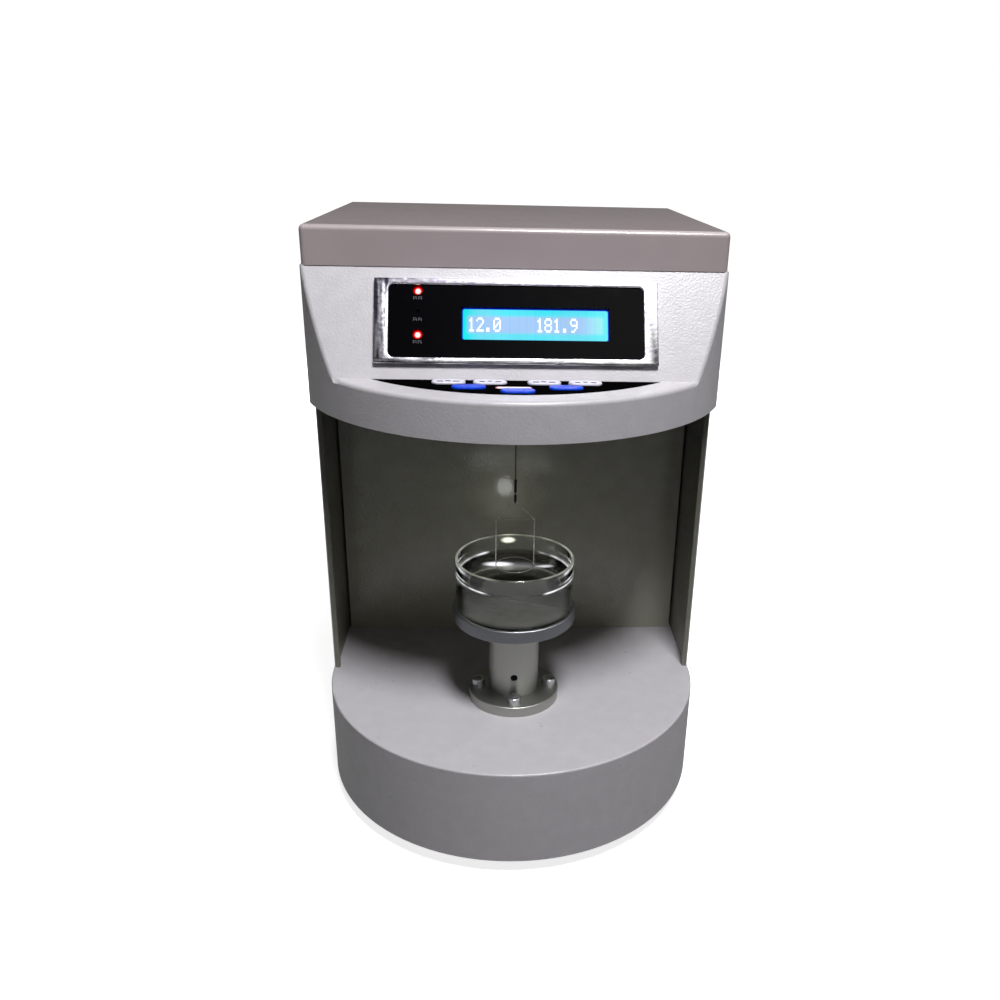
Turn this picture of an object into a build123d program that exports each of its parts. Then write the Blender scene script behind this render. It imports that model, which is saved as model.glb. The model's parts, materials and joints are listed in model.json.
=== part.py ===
from build123d import *
import os
from math import cos, radians, sin, sqrt, tan

# Bench surface tensiometer (ring method).  All sizes are in millimetres.
# Frame: +Z up, front of the instrument towards -Y, origin at the bottom centre of the whole
# instrument, on the surface that the feet stand on.

os.makedirs("parts", exist_ok=True)

# ---------------------------------------------------------------------------------------------
# Driving dimensions
# ---------------------------------------------------------------------------------------------

# Casing
base_radius = 100.0          # round front of the base, and half of its width
body_depth = 262.8           # front of the base to the rear cover's outer face
stage_setback = 72.3         # front of the base to the stage's axis
foot_height = 8.0
foot_radius = 9.0
base_height = 51.0
base_edge_radius = 1.0
working_height = 153.1       # base top to the underside of the head
head_height = 65.2           # underside of the head to the lid
head_reach = 46.2            # head's front ahead of the stage's axis
head_bulge = 68.1            # head's round front ahead of its straight sides
head_edge_radius = 2.0
ledge_rise = 18.6            # underside of the head to the keypad ledge
fascia_angle = 29.5          # lean of the display fascia from the vertical, in degrees
fascia_setback = 21.0        # stage's axis back to the fascia's top edge
lid_step = 0.7               # lid's sides inside the head's sides
lid_height = 18.0
lid_overhang = 0.5           # lid's front ahead of the fascia's top edge
lid_edge_radius = 2.5
lid_tab_depth = 6.0
lid_tab_length = 60.0
wall_step = 0.6              # side walls inside the base's sides
rear_flange = 14.0           # folded rear edge of each side wall, which takes the rear cover
panel_setback = 74.75        # stage's axis back to the front face of the back panel
panel_slit = 1.2             # slit between the back panel and each side wall
panel_flange = 12.0
sheet = 1.5                  # base, walls, lid and head floor
thin_sheet = 1.2             # head shell, back panel and rear cover
top_flange = 8.0             # inward rim of the head shell that carries the lid
foot_inset = 19.0            # middles of the feet inside the base's edge
foot_angle = 45.0            # front feet aside from the front, in degrees
foot_chamfer = 1.2
pillar_radius = 5.0
cable_hole_radius = 8.0      # wiring from the base to the upright
cable_hole_setback = 45.0    # back panel back to the wiring holes
cable_slot_x = -62.0         # opening in the head floor for the wiring
cable_slot_width = 36.0
cable_slot_length = 50.0
cable_slot_corner = 6.0
cover_screw_rows = (18.0, 104.0, 196.0)   # above the base's top
vent_rise = 124.0            # base top up to the middle of the ventilation slots
vent_length = 32.0
vent_width = 3.2
vent_pitch_x = 40.0
vent_pitch_z = 9.0
vent_columns = 3
vent_rows = 6

# Clearances
slip_gap = 0.3               # between sheet parts that slide together
thread_gap = 0.05            # between a screw and its hole
running_gap = 0.04           # between a shaft and its bearing, on the radius

# Fasteners
foot_screw_radius = 2.0
foot_screw_head = 3.5
foot_screw_grip = 12.0
foot_screw_head_height = 2.4
cover_screw_radius = 1.5
cover_screw_tip = 3.0
cover_screw_head_height = 1.8
sleeve_screw_radius = 2.0
sleeve_screw_head = 3.5
sleeve_screw_socket = 1.7
socket_depth = 2.0
motor_screw_radius = 1.5
motor_screw_grip = 4.0
inlet_screw_radius = 1.6
inlet_screw_spacing = 40.0

# Stage and its lift
sleeve_radius = 13.0
sleeve_height = 46.5         # above the base
sleeve_flange_radius = 23.7
sleeve_flange_thickness = 5.6
sleeve_edge = 0.5            # rounded and bevelled edges of the turned parts
sleeve_screw_circle = 18.65  # radius of the circle of the flange screws
stem_radius = 10.0
bush_wall = 1.5
stem_bore_radius = 5.2
platform_radius = 31.3
platform_thickness = 6.6
platform_gap = 0.5           # platform's underside above the sleeve when lowered
seat_depth = 2.0
spigot_radius = 6.0
spigot_height = 3.6
lift_travel = 14.0
set_screw_radius = 1.85
set_screw_recess = 0.9       # set screw's head inside the sleeve's surface
set_screw_socket = 1.1
dog_radius = 1.2             # tip of the set screw, which runs in the stem's keyway
keyway_gap = 0.15            # between the tip and each side of the keyway
keyway_depth = 2.0
keyway_lap = 0.8             # raised stem's end below the tip, and lowered keyway past it
screw_radius = 3.0           # lead screw
nut_flange_radius = 9.5
nut_flange_thickness = 2.5
nut_length = 10.0
nut_clearance = 1.0          # lowered nut above the motor's boss
screw_end = 4.0              # lead screw past the raised nut, and the bore past the screw
screw_seat = 10.0            # lead screw's length inside the motor
motor_width = 42.3
motor_height = 34.0
motor_corner = 4.0
motor_boss_radius = 11.0
motor_boss_height = 2.0
motor_hole_spacing = 31.0
motor_plate_size = 50.0
motor_plate_thickness = 3.0
dish_radius = 30.0
dish_height = 28.7
dish_wall = 1.3
dish_floor = 2.0
dish_corner = 3.5

# Ring and its hanging rod
ring_radius = 9.55           # to the middle of the wire
ring_wire = 0.185            # radius of the wire
ring_height = 75.7           # above the base
stirrup_height = 25.0        # ring up to the cross bar
cross_bar_to_apex = 9.0
collet_radius = 0.65
lower_collet_length = 3.7
collet_gap = 1.4
upper_collet_length = 6.5
hook_rise = 6.6              # underside of the head up to the hook's seat
rod_wire = 0.25              # radius of the hanging wire
eye_radius = 1.6
floor_hole_radius = 6.0

# Display
bezel_width = 131.8
bezel_height = 40.6
bezel_drop = 26.6            # fascia's top edge down to the bezel's middle
bezel_proud = 2.5
bezel_lip = 1.0              # bezel's thickness over the window's hidden edge
bezel_chamfer = 0.7
window_width = 118.0         # visible part of the window
window_height = 34.6
window_corner = 2.4
window_lap = 1.5             # hidden edge of the window behind the bezel
window_thickness = 2.0
lcd_width = 80.0
lcd_height = 26.0
lcd_recess = 0.6
lcd_view_width = 67.5
lcd_view_height = 14.4
lcd_offset = 8.75            # middle of the screen right of the window's middle
lcd_drop = 27.2              # fascia's top edge down to the middle of the screen
led_radius = 1.5
led_collar = 0.3
led_collar_height = 1.0
led_offset = 45.8            # indicators left of the middle
led_drops = {"led_top": 11.7, "led_middle": 21.9, "led_bottom": 32.6}
board_thickness = 1.6
board_margin = 8.0           # board's edge outside the middle of its standoffs
display_board_width = 135.0
display_board_height = 34.0
standoff_length = 8.0
standoff_radius = 1.9

# Keypad
keypad_margin = 12.6         # head's round front back to the keypad's round front
keypad_back_gap = 0.4        # fascia's foot to the keypad's back edge
overlay_thickness = 2.0
overlay_recess = 0.2
overlay_flange = 3.0
key_length = 15.5
key_width = 6.6
key_proud = 0.9
key_flange = 1.0
key_travel = 0.5
key_edge_radius = 0.7
key_stem_radius = 1.5
switch_size = 6.0
switch_height = 3.5
keypad_post_inset = 19.0     # keypad's ends in to its rear standoffs
keypad_post_row = 5.0        # keypad's back edge forward to its rear standoffs
keypad_front_post_inset = 3.6
keypad_front_post_x = 14.0
upper_row = 4.9              # keypad's back edge forward to each row of keys
lower_row = 13.9
front_row = 20.6
upper_keys = {"key_zero": -31.2, "key_calibrate": -12.4, "key_mean": 12.4, "key_auto": 31.2}
lower_keys = {"key_down": -21.8, "key_up": 21.8}
front_keys = {"key_stop": 0.0}

# Force sensor in the head
beam_width = 8.0
beam_thickness = 6.0
beam_low_rise = 11.0         # head floor up to the middle of the beam's front arm
beam_high_rise = 34.0        # head floor up to the middle of the beam's rear arm
pivot_setback = 48.0         # stage's axis back to the beam's pivot
coil_setback = 108.0         # stage's axis back to the coil
pivot_radius = 1.5
cheek_thickness = 6.0
cheek_gap = 0.6
cheek_depth = 14.0
cheek_cap = 6.0              # cheeks above the pivot
sensor_plate_thickness = 5.0
sensor_plate_width = 56.0
sensor_plate_margin = 12.0   # plate past the pivot, and past the flag
beam_front_gap = 2.0         # beam's front behind the stage's axis
beam_riser = 8.0             # length of the beam's upright part
hook_width = 3.0
hook_thickness = 1.2
hook_pin_radius = 0.5        # the rod's eye hangs on this pin
hook_pin_length = 3.6
coil_inner_radius = 9.0
coil_outer_radius = 11.5
coil_height = 12.0
coil_plate = 2.4             # solid top of the coil's former
magnet_gap = 1.0
magnet_wall = 5.0
magnet_height = 20.0
pole_radius = 7.8
flag_setback = 22.0          # coil back to the flag at the beam's end
flag_width = 1.0
flag_length = 6.0
flag_drop = 12.0
fork_gap = 1.2
fork_width = 16.0
fork_top_gap = 3.0
fork_slot_depth = 11.0

# Electronics and rear connectors
main_board_width = 150.0
main_board_height = 110.0
board_rise = 84.0            # base top up to the middle of the main board
transformer_margin = 23.4    # side wall to the transformer
transformer_setback = 56.0   # back panel back to the transformer
core_share = 0.5             # share of the transformer's depth that is iron core
core_margin = 8.0            # iron above and below the winding
winding_width = 38.0
transformer_width = 57.0
transformer_depth = 45.0
transformer_height = 48.0
connector_reach = 5.2        # serial port's nuts stand out of the rear cover by this much
inlet_flange_width = 50.0
inlet_flange_height = 38.0
inlet_flange_thickness = 3.0
inlet_corner = 3.0
inlet_body_width = 28.0
inlet_body_height = 33.0
inlet_body_depth = 24.0
plug_width = 24.4
plug_height = 16.4
plug_depth = 17.0
plug_drop = 6.6              # plug's recess below the inlet's middle
inlet_pin_width = 2.0
inlet_pin_height = 4.0
inlet_pin_recess = 2.0
inlet_pin_x = 7.0
earth_pin_rise = 2.5
live_pin_drop = 1.5
drawer_width = 22.0
drawer_height = 8.0
drawer_depth = 18.0
drawer_rise = 9.6            # fuse drawer above the inlet's middle
drawer_proud = 0.8
notch_width = 7.0
notch_height = 1.2
notch_depth = 2.0
rocker_width = 11.0
rocker_height = 17.0
rocker_swing = 16.0          # degrees from on to off
switch_wall = 1.5
switch_frame = 2.0
switch_depth = 16.0
switch_lip = 2.0
switch_floor_gap = 3.0
rocker_depth = 5.0
trunnion_radius = 1.2
trunnion_length = 0.7
port_width = 31.0
port_height = 12.6
port_shell_width = 17.0
port_shell_height = 8.4
port_shell_wall = 0.5
port_shell_slope = 80.0
port_body_depth = 8.0
port_pin_radius = 0.5
port_pin_pitch = 2.77
port_pin_rows = 2.84
port_recess = 0.4            # port's shell below its nuts
port_nut_spacing = 25.0
port_nut_radius = 2.9
port_thread_radius = 1.25
port_stud_radius = 1.6
inlet_margin = 4.9           # rear cover's screw heads to the inlet's flange
switch_gap = 7.5             # inlet's flange to the power switch's frame
port_margin = 24.5           # rear cover's screw heads to the port's nuts
connector_rise = 32.0        # base top up to the middle of the inlet, switch and port

# ---------------------------------------------------------------------------------------------
# Places worked out from the driving dimensions
# ---------------------------------------------------------------------------------------------

front_y = -(body_depth + connector_reach) / 2
rear_y = front_y + body_depth
stage_y = front_y + stage_setback
arc_y = front_y + base_radius
base_top = foot_height + base_height
wall_half_width = base_radius - wall_step
wall_inside = wall_half_width - sheet
head_half_width = wall_half_width + slip_gap / 3 + thin_sheet
lid_half_width = head_half_width - lid_step
panel_half_width = wall_inside - panel_slit
head_radius = (head_half_width**2 + head_bulge**2) / (2 * head_bulge)
head_bottom = base_top + working_height
floor_top = head_bottom + sheet
ledge_top = head_bottom + ledge_rise
head_top = head_bottom + head_height
head_arc_y = stage_y - head_reach + head_radius
fascia_top_y = stage_y + fascia_setback
lean = radians(fascia_angle)
fascia_foot_y = fascia_top_y - (head_top - ledge_top) * tan(lean)
cover_screw_x = wall_inside - rear_flange / 2
cover_screw_edge = cover_screw_x - 2 * cover_screw_radius
switch_outer_width = rocker_width + 2 * switch_wall
switch_outer_height = rocker_height + 2 * switch_wall
inlet_x = -(cover_screw_edge - inlet_margin - inlet_flange_width / 2)
switch_x = inlet_x + inlet_flange_width / 2 + switch_gap + switch_outer_width / 2 + switch_lip
port_x = cover_screw_edge - port_margin - port_nut_spacing / 2 - port_nut_radius
panel_y = stage_y + panel_setback
panel_rear = panel_y + thin_sheet
seat_top = base_top + sleeve_height + platform_gap + platform_thickness - seat_depth

# Fascia: x to the right, y up the slope, z out towards the user, from the top edge's middle.
fascia = Plane(origin=(0, fascia_top_y, head_top), x_dir=(1, 0, 0), z_dir=(0, -cos(lean), sin(lean)))
# Rear cover's outer face: x to the instrument's left, y up from the base's top, z out.
rear_face = Plane(origin=(0, rear_y, base_top), x_dir=(-1, 0, 0), z_dir=(0, 1, 0))


def round_front(half_width, radius, centre_y, rear):
    """Plan outline with a straight back, straight sides and a round front."""
    corner_y = centre_y - sqrt(radius**2 - half_width**2)
    with BuildSketch() as outline:
        with BuildLine():
            ThreePointArc((-half_width, corner_y), (0, centre_y - radius), (half_width, corner_y))
            Polyline((half_width, corner_y), (half_width, rear), (-half_width, rear), (-half_width, corner_y))
        make_face()
    return outline.sketch


# ---------------------------------------------------------------------------------------------
# Base: shell, bottom plate, pillars and feet
# ---------------------------------------------------------------------------------------------

foot_circle = base_radius - foot_inset
foot_front_x = foot_circle * sin(radians(foot_angle))
foot_front_y = arc_y - foot_circle * cos(radians(foot_angle))
foot_rear_y = rear_y - foot_inset
foot_places = [(-foot_front_x, foot_front_y), (foot_front_x, foot_front_y),
               (-foot_circle, foot_rear_y), (foot_circle, foot_rear_y)]
cable_hole_y = panel_rear + cable_hole_setback
sleeve_bore_radius = stem_radius + running_gap + bush_wall

with BuildPart() as base_shell:
    with BuildSketch(Plane.XY.offset(foot_height)):
        add(round_front(base_radius, base_radius, arc_y, rear_y))
    extrude(amount=base_height)
    fillet(base_shell.faces().sort_by(Axis.Z)[-1].edges(), base_edge_radius)
    with BuildSketch(Plane.XY.offset(foot_height)):
        add(round_front(base_radius - sheet, base_radius - sheet, arc_y, rear_y - sheet))
    extrude(amount=base_height - sheet, mode=Mode.SUBTRACT)
    with Locations((0, stage_y, base_top)):
        Hole(sleeve_bore_radius, sheet)
    with Locations((0, stage_y, base_top)):
        with PolarLocations(sleeve_screw_circle, 4):
            Hole(sleeve_screw_radius + thread_gap, sheet)
    with Locations((0, cable_hole_y, base_top)):
        Hole(cable_hole_radius, sheet)
base_shell.part.label = "base_shell"
export_step(base_shell.part, "parts/base_shell.step")

with BuildPart() as base_plate:
    inset = sheet + slip_gap
    with BuildSketch(Plane.XY.offset(foot_height)):
        add(round_front(base_radius - inset, base_radius - inset, arc_y, rear_y - inset))
        with Locations(*foot_places):
            Circle(foot_screw_radius + thread_gap, mode=Mode.SUBTRACT)
    extrude(amount=sheet)
base_plate.part.label = "base_plate"
export_step(base_plate.part, "parts/base_plate.step")

with BuildPart() as base_pillars:
    with BuildSketch(Plane.XY.offset(foot_height + sheet)):
        with Locations(*foot_places):
            RegularPolygon(pillar_radius, 6)
            Circle(foot_screw_radius + thread_gap, mode=Mode.SUBTRACT)
    extrude(amount=base_height - 2 * sheet)
base_pillars.part.label = "base_pillars"
export_step(base_pillars.part, "parts/base_pillars.step")

with BuildPart() as rubber_feet:
    with BuildSketch():
        with Locations(*foot_places):
            Circle(foot_radius)
            Circle(foot_screw_radius + thread_gap, mode=Mode.SUBTRACT)
    extrude(amount=foot_height)
    chamfer(rubber_feet.edges().filter_by(GeomType.CIRCLE).filter_by(lambda e: e.radius > foot_screw_head)
            .group_by(Axis.Z)[0], foot_chamfer)
    with BuildSketch():
        with Locations(*foot_places):
            Circle(foot_screw_head + slip_gap)
    extrude(amount=foot_height / 2, mode=Mode.SUBTRACT)
rubber_feet.part.label = "rubber_feet"
export_step(rubber_feet.part, "parts/rubber_feet.step")

with BuildPart() as foot_screws:
    head_z = foot_height / 2
    with BuildSketch(Plane.XY.offset(head_z)):
        with Locations(*foot_places):
            Circle(foot_screw_radius)
    extrude(amount=foot_height - head_z + sheet + foot_screw_grip)
    with BuildSketch(Plane.XY.offset(head_z)):
        with Locations(*foot_places):
            Circle(foot_screw_head)
    extrude(amount=-foot_screw_head_height)
foot_screws.part.label = "foot_screws"
export_step(foot_screws.part, "parts/foot_screws.step")

# ---------------------------------------------------------------------------------------------
# Upright: side walls, back panel and rear cover
# ---------------------------------------------------------------------------------------------

wall_top = head_top - thin_sheet - slip_gap
cover_inside = rear_y - thin_sheet

for side, name in ((-1, "left_wall"), (1, "right_wall")):
    with BuildPart() as wall:
        with BuildSketch(Plane.XY.offset(base_top)):
            with BuildLine():
                Polyline(
                    (side * wall_half_width, arc_y),
                    (side * wall_half_width, cover_inside),
                    (side * (wall_inside - rear_flange), cover_inside),
                    (side * (wall_inside - rear_flange), cover_inside - sheet),
                    (side * wall_inside, cover_inside - sheet),
                    (side * wall_inside, arc_y + 2 * sheet),
                    (side * (wall_inside - sheet), arc_y + 2 * sheet),
                    (side * (wall_inside - sheet), arc_y),
                    close=True,
                )
            make_face()
        extrude(amount=wall_top - base_top)
        fillet(wall.edges().filter_by(Axis.Z).group_by(Axis.Y)[0], sheet / 2 - thread_gap)
        for row in cover_screw_rows:
            screw_place = (side * cover_screw_x, cover_inside, base_top + row)
            with Locations(Plane(origin=screw_place, z_dir=(0, 1, 0))):
                Hole(cover_screw_radius + thread_gap, sheet)
    wall.part.label = name
    export_step(wall.part, f"parts/{name}.step")

with BuildPart() as back_panel:
    with BuildSketch(Plane.XY.offset(base_top)):
        with Locations((0, panel_y)):
            Rectangle(2 * panel_half_width, panel_flange, align=(Align.CENTER, Align.MIN))
        with Locations((0, panel_rear)):
            Rectangle(2 * (panel_half_width - thin_sheet), panel_flange, align=(Align.CENTER, Align.MIN),
                      mode=Mode.SUBTRACT)
    extrude(amount=working_height)
back_panel.part.label = "back_panel"
export_step(back_panel.part, "parts/back_panel.step")

with BuildPart() as rear_cover:
    with BuildSketch(rear_face):
        Rectangle(2 * (wall_half_width - slip_gap), wall_top - base_top - slip_gap,
                  align=(Align.CENTER, Align.MIN))
        for row in cover_screw_rows:
            with Locations((-cover_screw_x, row), (cover_screw_x, row)):
                Circle(cover_screw_radius + thread_gap, mode=Mode.SUBTRACT)
        # Openings for the inlet, the power switch and the serial port.
        with Locations((-inlet_x, connector_rise)):
            Rectangle(inlet_body_width, inlet_body_height, mode=Mode.SUBTRACT)
        with Locations((-switch_x, connector_rise)):
            Rectangle(switch_outer_width, switch_outer_height, mode=Mode.SUBTRACT)
        with Locations((-port_x, connector_rise)):
            Rectangle(port_shell_width + slip_gap, port_shell_height + slip_gap, mode=Mode.SUBTRACT)
            with Locations((-port_nut_spacing / 2, 0), (port_nut_spacing / 2, 0)):
                Circle(port_stud_radius + thread_gap, mode=Mode.SUBTRACT)
        # Ventilation slots.
        with Locations((0, vent_rise)):
            with GridLocations(vent_pitch_x, vent_pitch_z, vent_columns, vent_rows):
                SlotOverall(vent_length, vent_width, mode=Mode.SUBTRACT)
    extrude(amount=-thin_sheet)
rear_cover.part.label = "rear_cover"
export_step(rear_cover.part, "parts/rear_cover.step")

with BuildPart() as rear_cover_screws:
    for row in cover_screw_rows:
        for side in (-1, 1):
            with Locations(Plane(origin=(side * cover_screw_x, rear_y, base_top + row), z_dir=(0, 1, 0))):
                Cylinder(cover_screw_radius, thin_sheet + sheet + cover_screw_tip,
                         align=(Align.CENTER, Align.CENTER, Align.MAX))
                Cylinder(2 * cover_screw_radius, cover_screw_head_height,
                         align=(Align.CENTER, Align.CENTER, Align.MIN))
rear_cover_screws.part.label = "rear_cover_screws"
export_step(rear_cover_screws.part, "parts/rear_cover_screws.step")

# ---------------------------------------------------------------------------------------------
# Head: shell, floor and lift-off lid
# ---------------------------------------------------------------------------------------------

cutout_width = window_width + 2 * window_lap + 2 * slip_gap
cutout_height = window_height + 2 * window_lap + 2 * slip_gap
keypad_back = fascia_foot_y - keypad_back_gap


def head_form(inset):
    """Head as a solid block; inset draws every wall in by that much, past the bottom and rear."""
    fascia_shift = inset / cos(lean)
    with BuildPart() as form:
        with BuildSketch(Plane.XY.offset(head_bottom - inset)):
            add(round_front(head_half_width - inset, head_radius - inset, head_arc_y, rear_y + inset))
        extrude(amount=head_height)
        # Notch for the ledge and the sloping fascia.
        foot_y = fascia_foot_y + fascia_shift - inset * tan(lean)
        with BuildSketch(Plane.YZ.offset(-head_half_width)):
            with BuildLine():
                Polyline(
                    (stage_y - 2 * head_reach, ledge_top - inset),
                    (foot_y, ledge_top - inset),
                    (foot_y + 2 * head_height * tan(lean), ledge_top - inset + 2 * head_height),
                    (stage_y - 2 * head_reach, ledge_top - inset + 2 * head_height),
                    close=True,
                )
            make_face()
        extrude(amount=2 * head_half_width, mode=Mode.SUBTRACT)
    return form


def keypad_outline(grow):
    """Crescent between the fascia's foot and an arc that follows the head's round front."""
    arc_radius = head_radius - keypad_margin + grow
    back = keypad_back + grow
    half = sqrt(arc_radius**2 - (head_arc_y - back)**2)
    with BuildSketch() as outline:
        with BuildLine():
            ThreePointArc((-half, back), (0, head_arc_y - arc_radius), (half, back))
            Line((half, back), (-half, back))
        make_face()
    return outline.sketch


# The ledge's lip and the fascia's sides are rounded on two blocks; the head is what they share.
rounded_lip = head_form(0)
with rounded_lip:
    curved_edges = rounded_lip.edges().filter_by(GeomType.LINE, reverse=True)
    fillet(curved_edges.filter_by_position(Axis.Z, ledge_top, ledge_top), head_edge_radius)
rounded_sides = head_form(0)
with rounded_sides:
    curved_edges = rounded_sides.edges().filter_by(GeomType.LINE, reverse=True)
    fillet(curved_edges.filter_by_position(Axis.Z, ledge_top, head_top, inclusive=(False, False)),
           head_edge_radius)

with BuildPart() as head_shell:
    add(rounded_sides.part)
    add(rounded_lip.part, mode=Mode.INTERSECT)
    add(head_form(thin_sheet).part, mode=Mode.SUBTRACT)
    # The rim that carries the lid runs round the open top.
    with BuildSketch(Plane.XY.offset(head_top)):
        top_front = fascia_top_y + top_flange
        with Locations((0, top_front)):
            Rectangle(2 * (head_half_width - top_flange), rear_y - top_flange - top_front,
                      align=(Align.CENTER, Align.MIN))
    extrude(amount=-2 * thin_sheet, mode=Mode.SUBTRACT)
    with BuildSketch(fascia):
        with Locations((0, -bezel_drop)):
            Rectangle(cutout_width, cutout_height)
    extrude(amount=2 * thin_sheet, both=True, mode=Mode.SUBTRACT)
    with BuildSketch(Plane.XY.offset(ledge_top)):
        add(keypad_outline(0))
    extrude(amount=-2 * thin_sheet, mode=Mode.SUBTRACT)
head_shell.part.label = "head_shell"
export_step(head_shell.part, "parts/head_shell.step")

# Rear part of the head floor runs between the side walls.
with BuildPart() as head_floor:
    inset = thin_sheet + slip_gap
    with BuildSketch(Plane.XY.offset(head_bottom)):
        floor_rear = cover_inside - sheet - slip_gap
        add(round_front(head_half_width - inset, head_radius - inset, head_arc_y, floor_rear))
        with Locations((0, arc_y - slip_gap)):
            for side in (-1, 1):
                with Locations((side * (wall_inside - sheet - slip_gap), 0)):
                    Rectangle(rear_flange, body_depth,
                              align=(Align.MIN if side > 0 else Align.MAX, Align.MIN), mode=Mode.SUBTRACT)
        with Locations((0, stage_y)):
            Circle(floor_hole_radius, mode=Mode.SUBTRACT)
        with Locations((cable_slot_x, cable_hole_y)):
            RectangleRounded(cable_slot_width, cable_slot_length, cable_slot_corner, mode=Mode.SUBTRACT)
    extrude(amount=sheet)
head_floor.part.label = "head_floor"
export_step(head_floor.part, "parts/head_floor.step")

with BuildPart() as lid:
    lid_front = fascia_top_y - lid_overhang
    with BuildSketch(Plane.XY.offset(head_top)):
        with Locations((0, lid_front)):
            Rectangle(2 * lid_half_width, rear_y - lid_front, align=(Align.CENTER, Align.MIN))
    extrude(amount=lid_height)
    fillet(lid.edges().filter_by(Axis.Z), lid_edge_radius)
    fillet(lid.faces().sort_by(Axis.Z)[-1].edges(), lid_edge_radius)
    offset(amount=-sheet, openings=lid.faces().sort_by(Axis.Z)[0])
    # Two tabs drop inside the rim and keep the lid from sliding.
    tab_x = head_half_width - top_flange - slip_gap
    for side in (-1, 1):
        with BuildSketch(Plane.XY.offset(head_top - lid_tab_depth)):
            with Locations((side * (tab_x - sheet / 2), (fascia_top_y + rear_y) / 2)):
                Rectangle(sheet, lid_tab_length)
        extrude(amount=lid_tab_depth + lid_height - sheet)
lid.part.label = "lid"
export_step(lid.part, "parts/lid.step")

# ---------------------------------------------------------------------------------------------
# Display
# ---------------------------------------------------------------------------------------------

window_middle = (0, -bezel_drop)
window_front = bezel_proud - bezel_lip
window_back = window_front - window_thickness

with BuildPart() as display_bezel:
    with BuildSketch(fascia):
        with Locations(window_middle):
            Rectangle(bezel_width, bezel_height)
            RectangleRounded(window_width, window_height, window_corner, mode=Mode.SUBTRACT)
    extrude(amount=bezel_proud)
    front_face = display_bezel.faces().sort_by(Axis(fascia.origin, fascia.z_dir))[-1]
    chamfer(front_face.inner_wires()[0].edges(), bezel_chamfer)
    with BuildSketch(fascia):
        with Locations(window_middle):
            Rectangle(window_width + 2 * window_lap, window_height + 2 * window_lap)
    extrude(amount=window_front, mode=Mode.SUBTRACT)
display_bezel.part.label = "display_bezel"
export_step(display_bezel.part, "parts/display_bezel.step")

with BuildPart() as display_window:
    with BuildSketch(fascia.offset(window_back)):
        with Locations(window_middle):
            Rectangle(window_width + 2 * window_lap, window_height + 2 * window_lap)
    extrude(amount=window_thickness)
display_window.part.label = "display_window"
export_step(display_window.part, "parts/display_window.step")

board_front = -thin_sheet - standoff_length
with BuildPart() as lcd_module:
    with BuildSketch(fascia.offset(board_front)):
        with Locations((lcd_offset, -lcd_drop)):
            Rectangle(lcd_width, lcd_height)
    extrude(amount=window_back - board_front)
    with BuildSketch(fascia.offset(window_back)):
        with Locations((lcd_offset, -lcd_drop)):
            Rectangle(lcd_view_width, lcd_view_height)
    extrude(amount=-lcd_recess, mode=Mode.SUBTRACT)
lcd_module.part.label = "lcd_module"
export_step(lcd_module.part, "parts/lcd_module.step")

with BuildPart() as display_board:
    with BuildSketch(fascia.offset(board_front)):
        with Locations(window_middle):
            Rectangle(display_board_width, display_board_height)
    extrude(amount=-board_thickness)
display_board.part.label = "display_board"
export_step(display_board.part, "parts/display_board.step")

for name, drop in led_drops.items():
    with BuildPart() as led:
        with BuildSketch(fascia.offset(board_front)):
            with Locations((-led_offset, -drop)):
                Circle(led_radius)
        extrude(amount=window_back - slip_gap - board_front)
        fillet(led.faces().sort_by(Axis(fascia.origin, fascia.z_dir))[-1].edges(), led_radius - thread_gap)
        with BuildSketch(fascia.offset(board_front)):
            with Locations((-led_offset, -drop)):
                Circle(led_radius + led_collar)
        extrude(amount=led_collar_height)
    led.part.label = name
    export_step(led.part, f"parts/{name}.step")

# ---------------------------------------------------------------------------------------------
# Keypad
# ---------------------------------------------------------------------------------------------

overlay_top = ledge_top - overlay_recess
overlay_bottom = overlay_top - overlay_thickness
board_top = overlay_bottom - standoff_length
key_places = {name: (x, keypad_back - upper_row) for name, x in upper_keys.items()}
key_places.update({name: (x, keypad_back - lower_row) for name, x in lower_keys.items()})
key_places.update({name: (x, keypad_back - front_row) for name, x in front_keys.items()})

with BuildPart() as keypad_overlay:
    with BuildSketch(Plane.XY.offset(overlay_bottom)):
        add(keypad_outline(-slip_gap / 2))
    extrude(amount=overlay_thickness)
    with BuildSketch(Plane.XY.offset(overlay_bottom)):
        add(keypad_outline(overlay_flange))
    extrude(amount=overlay_thickness + overlay_recess - thin_sheet)
    with BuildSketch(Plane.XY.offset(overlay_bottom)):
        with Locations(*key_places.values()):
            SlotOverall(key_length + 2 * slip_gap, key_width + 2 * slip_gap)
    extrude(amount=overlay_thickness, mode=Mode.SUBTRACT)
keypad_overlay.part.label = "keypad_overlay"
export_step(keypad_overlay.part, "parts/keypad_overlay.step")

with BuildPart() as keypad_board:
    with BuildSketch(Plane.XY.offset(board_top)):
        add(keypad_outline(overlay_flange - slip_gap))
    extrude(amount=-board_thickness)
keypad_board.part.label = "keypad_board"
export_step(keypad_board.part, "parts/keypad_board.step")

with BuildPart() as key_switches:
    with BuildSketch(Plane.XY.offset(board_top)):
        with Locations(*key_places.values()):
            Rectangle(switch_size, switch_size)
    extrude(amount=switch_height)
key_switches.part.label = "key_switches"
export_step(key_switches.part, "parts/key_switches.step")

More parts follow.
